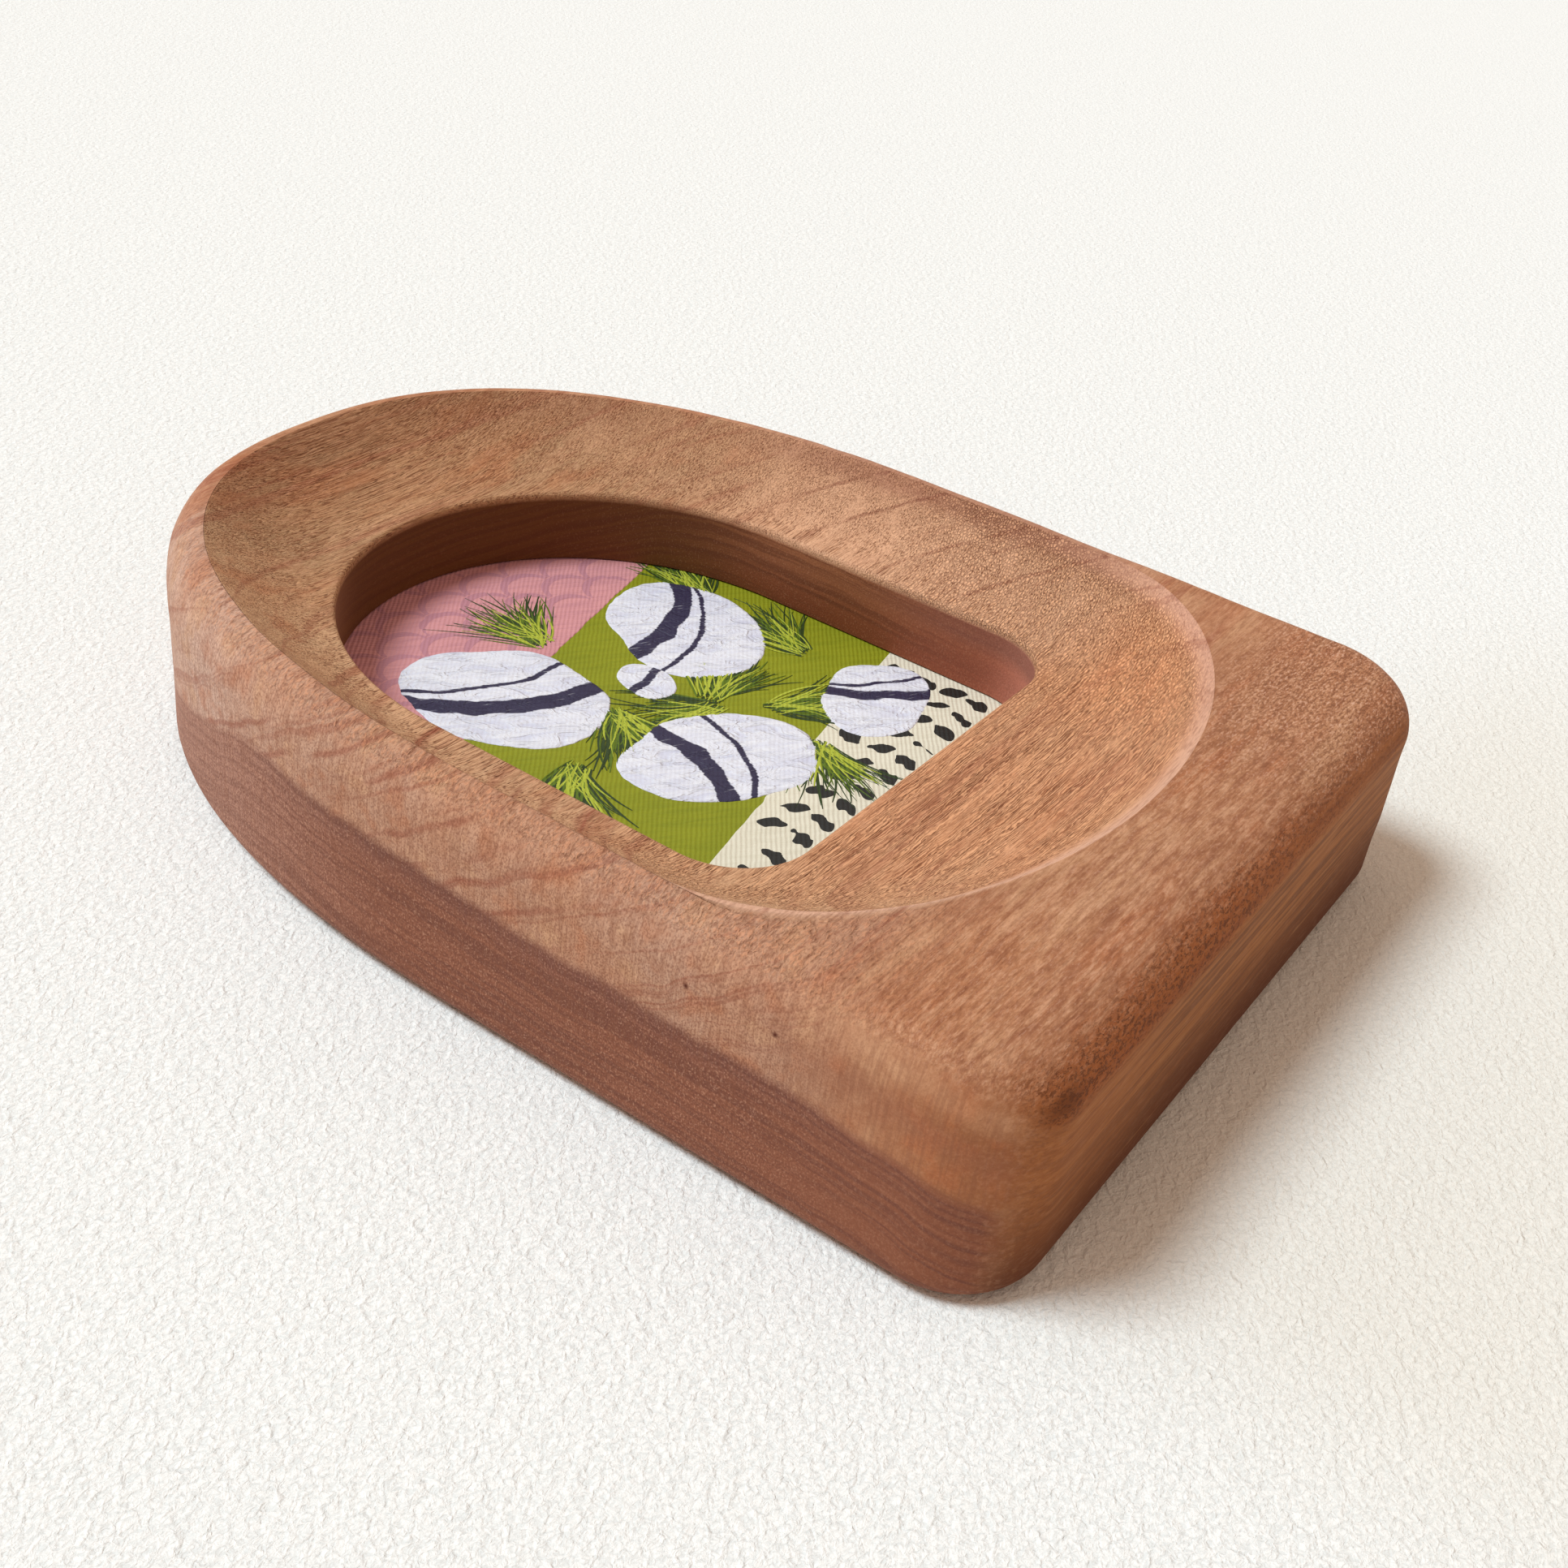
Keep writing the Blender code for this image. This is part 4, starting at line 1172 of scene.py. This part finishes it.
def metal_material(name, colour, darker, roughness):
    """Plated steel with fine rolling marks, dull patches and small scratches."""
    n = Nodes(name)
    marks = n.noise((6.0, 0.12, 0.6), turn=(0, 0, 0.5))
    dull = n.noise((3.0, 3.0, 3.0), 3.0)
    line = n.voronoi((9.0, 0.7, 2.0), "DISTANCE_TO_EDGE", turn=(0, 0, -0.7)).fall(0.0, 0.035)
    shade = n.mix(dull.rise(0.42, 0.68), rgb(*colour), rgb(*darker))
    rough = dull.rise(0.4, 0.7, roughness, roughness + 0.18) + line * 0.1
    return n.finish(shade, rough, marks * 0.012 + line * -0.008, metallic=1.0)


def turned(name, profile):
    """Solid of revolution about Z. The profile's ends lie on the axis."""
    angles = [2 * math.pi * side / TURNED_SIDES for side in range(TURNED_SIDES)]
    verts = [(0.0, 0.0, profile[index][1]) for index in (0, -1)]
    for radius, z in profile[1:-1]:
        verts += [(radius * math.cos(angle), radius * math.sin(angle), z) for angle in angles]
    first, last = 2, len(verts) - TURNED_SIDES
    faces = []
    for side in range(TURNED_SIDES):
        after = (side + 1) % TURNED_SIDES
        faces += [(0, first + after, first + side), (1, last + side, last + after)]
        for low in range(first, last, TURNED_SIDES):
            high = low + TURNED_SIDES
            faces.append((low + side, low + after, high + after, high + side))
    return make_mesh(name, verts, faces)


def cross_cutter():
    """Cross-shaped driver, tapered to its tip, that points up from below the head."""
    half, wide = CROSS_LENGTH / 2, CROSS_WIDTH / 2
    arm = [(half, -wide), (half, wide), (wide, wide)]
    outline = []
    for _ in range(4):
        outline += arm
        arm = [(-y, x) for x, y in arm]
    levels = ((-SCREW_HEAD_HEIGHT - MM, 1.25), (-SCREW_HEAD_HEIGHT + CROSS_DEPTH, 0.45))
    verts = [(x * scale, y * scale, z) for z, scale in levels for x, y in outline]
    count = len(outline)
    faces = []
    for index in range(count):
        after = (index + 1) % count
        faces.append((index, after, count + after, count + index))
    faces += [tuple(reversed(range(count))), tuple(range(count, 2 * count))]
    return make_mesh("cross_cutter", verts, faces)


def screw_mesh():
    """Pan-head wood screw with a cross recess, whose head hangs below z = 0."""
    profile = [(0.0, -SCREW_HEAD_HEIGHT)]
    for step in range(1, 11):
        angle = math.radians(9 * step)
        drop = SCREW_HEAD_SIDE + (SCREW_HEAD_HEIGHT - SCREW_HEAD_SIDE) * math.cos(angle)
        profile.append((SCREW_HEAD_RADIUS * math.sin(angle), -drop))
    profile += [(SCREW_HEAD_RADIUS, -FINE_EDGE), (SCREW_HEAD_RADIUS - FINE_EDGE, 0.0), (SCREW_SHANK, 0.0),
                (SCREW_SHANK, SCREW_LENGTH - SCREW_POINT_LENGTH), (FINE_EDGE, SCREW_LENGTH - FINE_EDGE),
                (0.0, SCREW_LENGTH)]
    head = add_object("head", turned("screw", profile))
    cutter = add_object("cutter", cross_cutter())
    cut = head.modifiers.new("cross", "BOOLEAN")
    cut.operation = "DIFFERENCE"
    cut.solver = "EXACT"
    cut.object = cutter
    bpy.context.view_layer.update()
    shaped = head.evaluated_get(bpy.context.evaluated_depsgraph_get())
    mesh = bpy.data.meshes.new_from_object(shaped)
    for thing in (head, cutter):
        bpy.data.objects.remove(thing, do_unlink=True)
    return smooth(mesh, 35)


def nail_mesh():
    """Flat-headed nail, whose head hangs below z = 0."""
    eased = NAIL_HEAD_RADIUS - FINE_EDGE
    profile = [(0.0, -NAIL_HEAD_HEIGHT), (NAIL_HEAD_RADIUS - 0.5 * MM, -NAIL_HEAD_HEIGHT),
               (eased, 0.25 * MM - NAIL_HEAD_HEIGHT), (NAIL_HEAD_RADIUS, -0.2 * MM), (eased, 0.0),
               (NAIL_SHANK, 0.0), (NAIL_SHANK, NAIL_LENGTH - NAIL_POINT_LENGTH), (0.0, NAIL_LENGTH)]
    return smooth(turned("nail", profile), 35)


def fasteners(steel):
    """Finer screws and nails in the places of the solids, with the undersides of their heads there."""
    kinds = (
        ("turn_button_screw", "cross_head_screw", screw_mesh(), SCREW_HEAD_HEIGHT, SCREW_TURNS),
        ("hanger_nail", "flat_nail", nail_mesh(), NAIL_HEAD_HEIGHT, NAIL_TURNS),
    )
    for solid, name, shape, head_height, turns in kinds:
        for number, turn in enumerate(turns, 1):
            node = f"{solid}_{number}"
            low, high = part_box(node)
            place = Vector(((low.x + high.x) / 2, (low.y + high.y) / 2, low.z + head_height))
            mesh = shape.copy()
            mesh.name = f"{name}_{number}"
            mesh.transform(Matrix.Translation(place) @ Matrix.Rotation(math.radians(turn), 4, "Z"))
            show(mesh, steel, [node])


def hardware():
    """Boards, turn buttons, hanger, screws and nails."""
    steel = metal_material("zinc_plating", (196, 198, 200), (158, 160, 164), 0.30)
    brass = metal_material("brass_plating", (214, 178, 104), (172, 132, 66), 0.28)
    backing = board_material("smooth_hardboard", (122, 86, 58), (98, 66, 44), (150, 112, 80), 3.0)
    panel = board_material("raw_board", (204, 184, 148), (180, 158, 120), (222, 206, 174), 6.0)
    refinish("backing_board", backing)
    refinish("panel_board", panel)
    refinish("sawtooth_hanger", steel)
    for number in range(1, 5):
        refinish(f"turn_button_{number}", brass)
    fasteners(steel)


# Floor, light and camera

CAMERA_PLACE = (-0.2031, -0.13591, 0.1677)
CAMERA_RIGHT = (0.5734, -0.8115, 0.113)
CAMERA_UP = (0.4029, 0.3993, 0.8235)
CAMERA_BACK = (-0.7134, -0.4267, 0.5559)
CAMERA_ANGLE = 44.7072
FLOOR_HALF = 2.5
FLOOR_GAP = 0.05 * MM
SUN_FROM = (-0.42, 0.49, 1.0)
SUN_STRENGTH = 2.76
SUN_COLOUR = (0.80, 0.93, 1.0)
SUN_ANGLE = 21.0
WORLD_COLOUR = (1.0, 0.752, 0.59, 1.0)
WORLD_STRENGTH = 0.545
BACKDROP_COLOUR = rgb(248, 247, 242)


def floor_material():
    """Pale, finely grained sheet, with painted shade past the foot that widens the object's shadow."""
    n = Nodes("pale_sheet")
    grains = n.noise((0.8, 0.6, 1.0), 3.0, 0.65, 0.8, turn=(0, 0, 0.4))
    lumps = n.noise((1.7, 1.3, 2.0), 2.0, 0.5, 0.6, turn=(0, 0, -0.5))
    # Painted shade: a soft darker patch past the foot and to its right, which widens the cast shadow.
    painted_shade_past_foot = n.y.rise(-190, -130) * n.y.fall(-95, -55)
    across = n.x.rise(-72, -28) * n.x.fall(90, 200)
    colour = n.coats(rgb(230, 233, 232), [
        (grains.rise(0.35, 0.6), 247, 248, 246),
        (painted_shade_past_foot * across * 0.5, 228, 222, 208),
    ])
    return n.finish(colour, 0.9, grains * 0.24 + lumps * 0.40, specular=0.1)


def make_floor():
    half = FLOOR_HALF
    corners = [(x, y, -FLOOR_GAP) for x, y in ((-half, -half), (half, -half), (half, half), (-half, half))]
    mesh = make_mesh("floor", corners, [(0, 1, 2, 3)])
    mesh.materials.append(floor_material())
    add_object("floor", mesh)


def make_sun():
    lamp = bpy.data.lights.new("window_light", "SUN")
    lamp.energy = SUN_STRENGTH
    lamp.color = SUN_COLOUR
    lamp.angle = math.radians(SUN_ANGLE)
    sun = add_object("window_light", lamp)
    sun.rotation_euler = Vector(SUN_FROM).to_track_quat("Z", "Y").to_euler()


def make_world():
    """Warm light from all round, which the camera, gloss and glass see as a pale backdrop."""
    world = bpy.data.worlds.new("soft_room")
    bpy.context.scene.world = world
    world.use_nodes = True
    nodes, links = world.node_tree.nodes, world.node_tree.links
    room = nodes["Background"]
    room.inputs["Color"].default_value = WORLD_COLOUR
    room.inputs["Strength"].default_value = WORLD_STRENGTH
    white = nodes.new("ShaderNodeBackground")
    white.inputs["Color"].default_value = BACKDROP_COLOUR
    ray = nodes.new("ShaderNodeLightPath")
    shown = ray.outputs["Is Camera Ray"]
    for kind in ("Is Glossy Ray", "Is Transmission Ray"):
        either_ray = nodes.new("ShaderNodeMath")
        either_ray.operation = "MAXIMUM"
        links.new(shown, either_ray.inputs[0])
        links.new(ray.outputs[kind], either_ray.inputs[1])
        shown = either_ray.outputs[0]
    either = nodes.new("ShaderNodeMixShader")
    for index, output in enumerate((shown, room.outputs[0], white.outputs[0])):
        links.new(output, either.inputs[index])
    links.new(either.outputs[0], nodes["World Output"].inputs["Surface"])


def make_camera():
    data = bpy.data.cameras.new("camera")
    data.angle = math.radians(CAMERA_ANGLE)
    data.clip_start = 0.01
    camera = add_object("camera", data)
    turn = Matrix((CAMERA_RIGHT, CAMERA_UP, CAMERA_BACK)).transposed().to_4x4()
    camera.matrix_world = Matrix.Translation(CAMERA_PLACE) @ turn
    bpy.context.scene.camera = camera


bpy.context.scene.view_settings.view_transform = "Standard"
make_camera()
make_sun()
make_world()
make_floor()
show(carved_block(), wood_material(), ["frame_body"])
painting()
hardware()
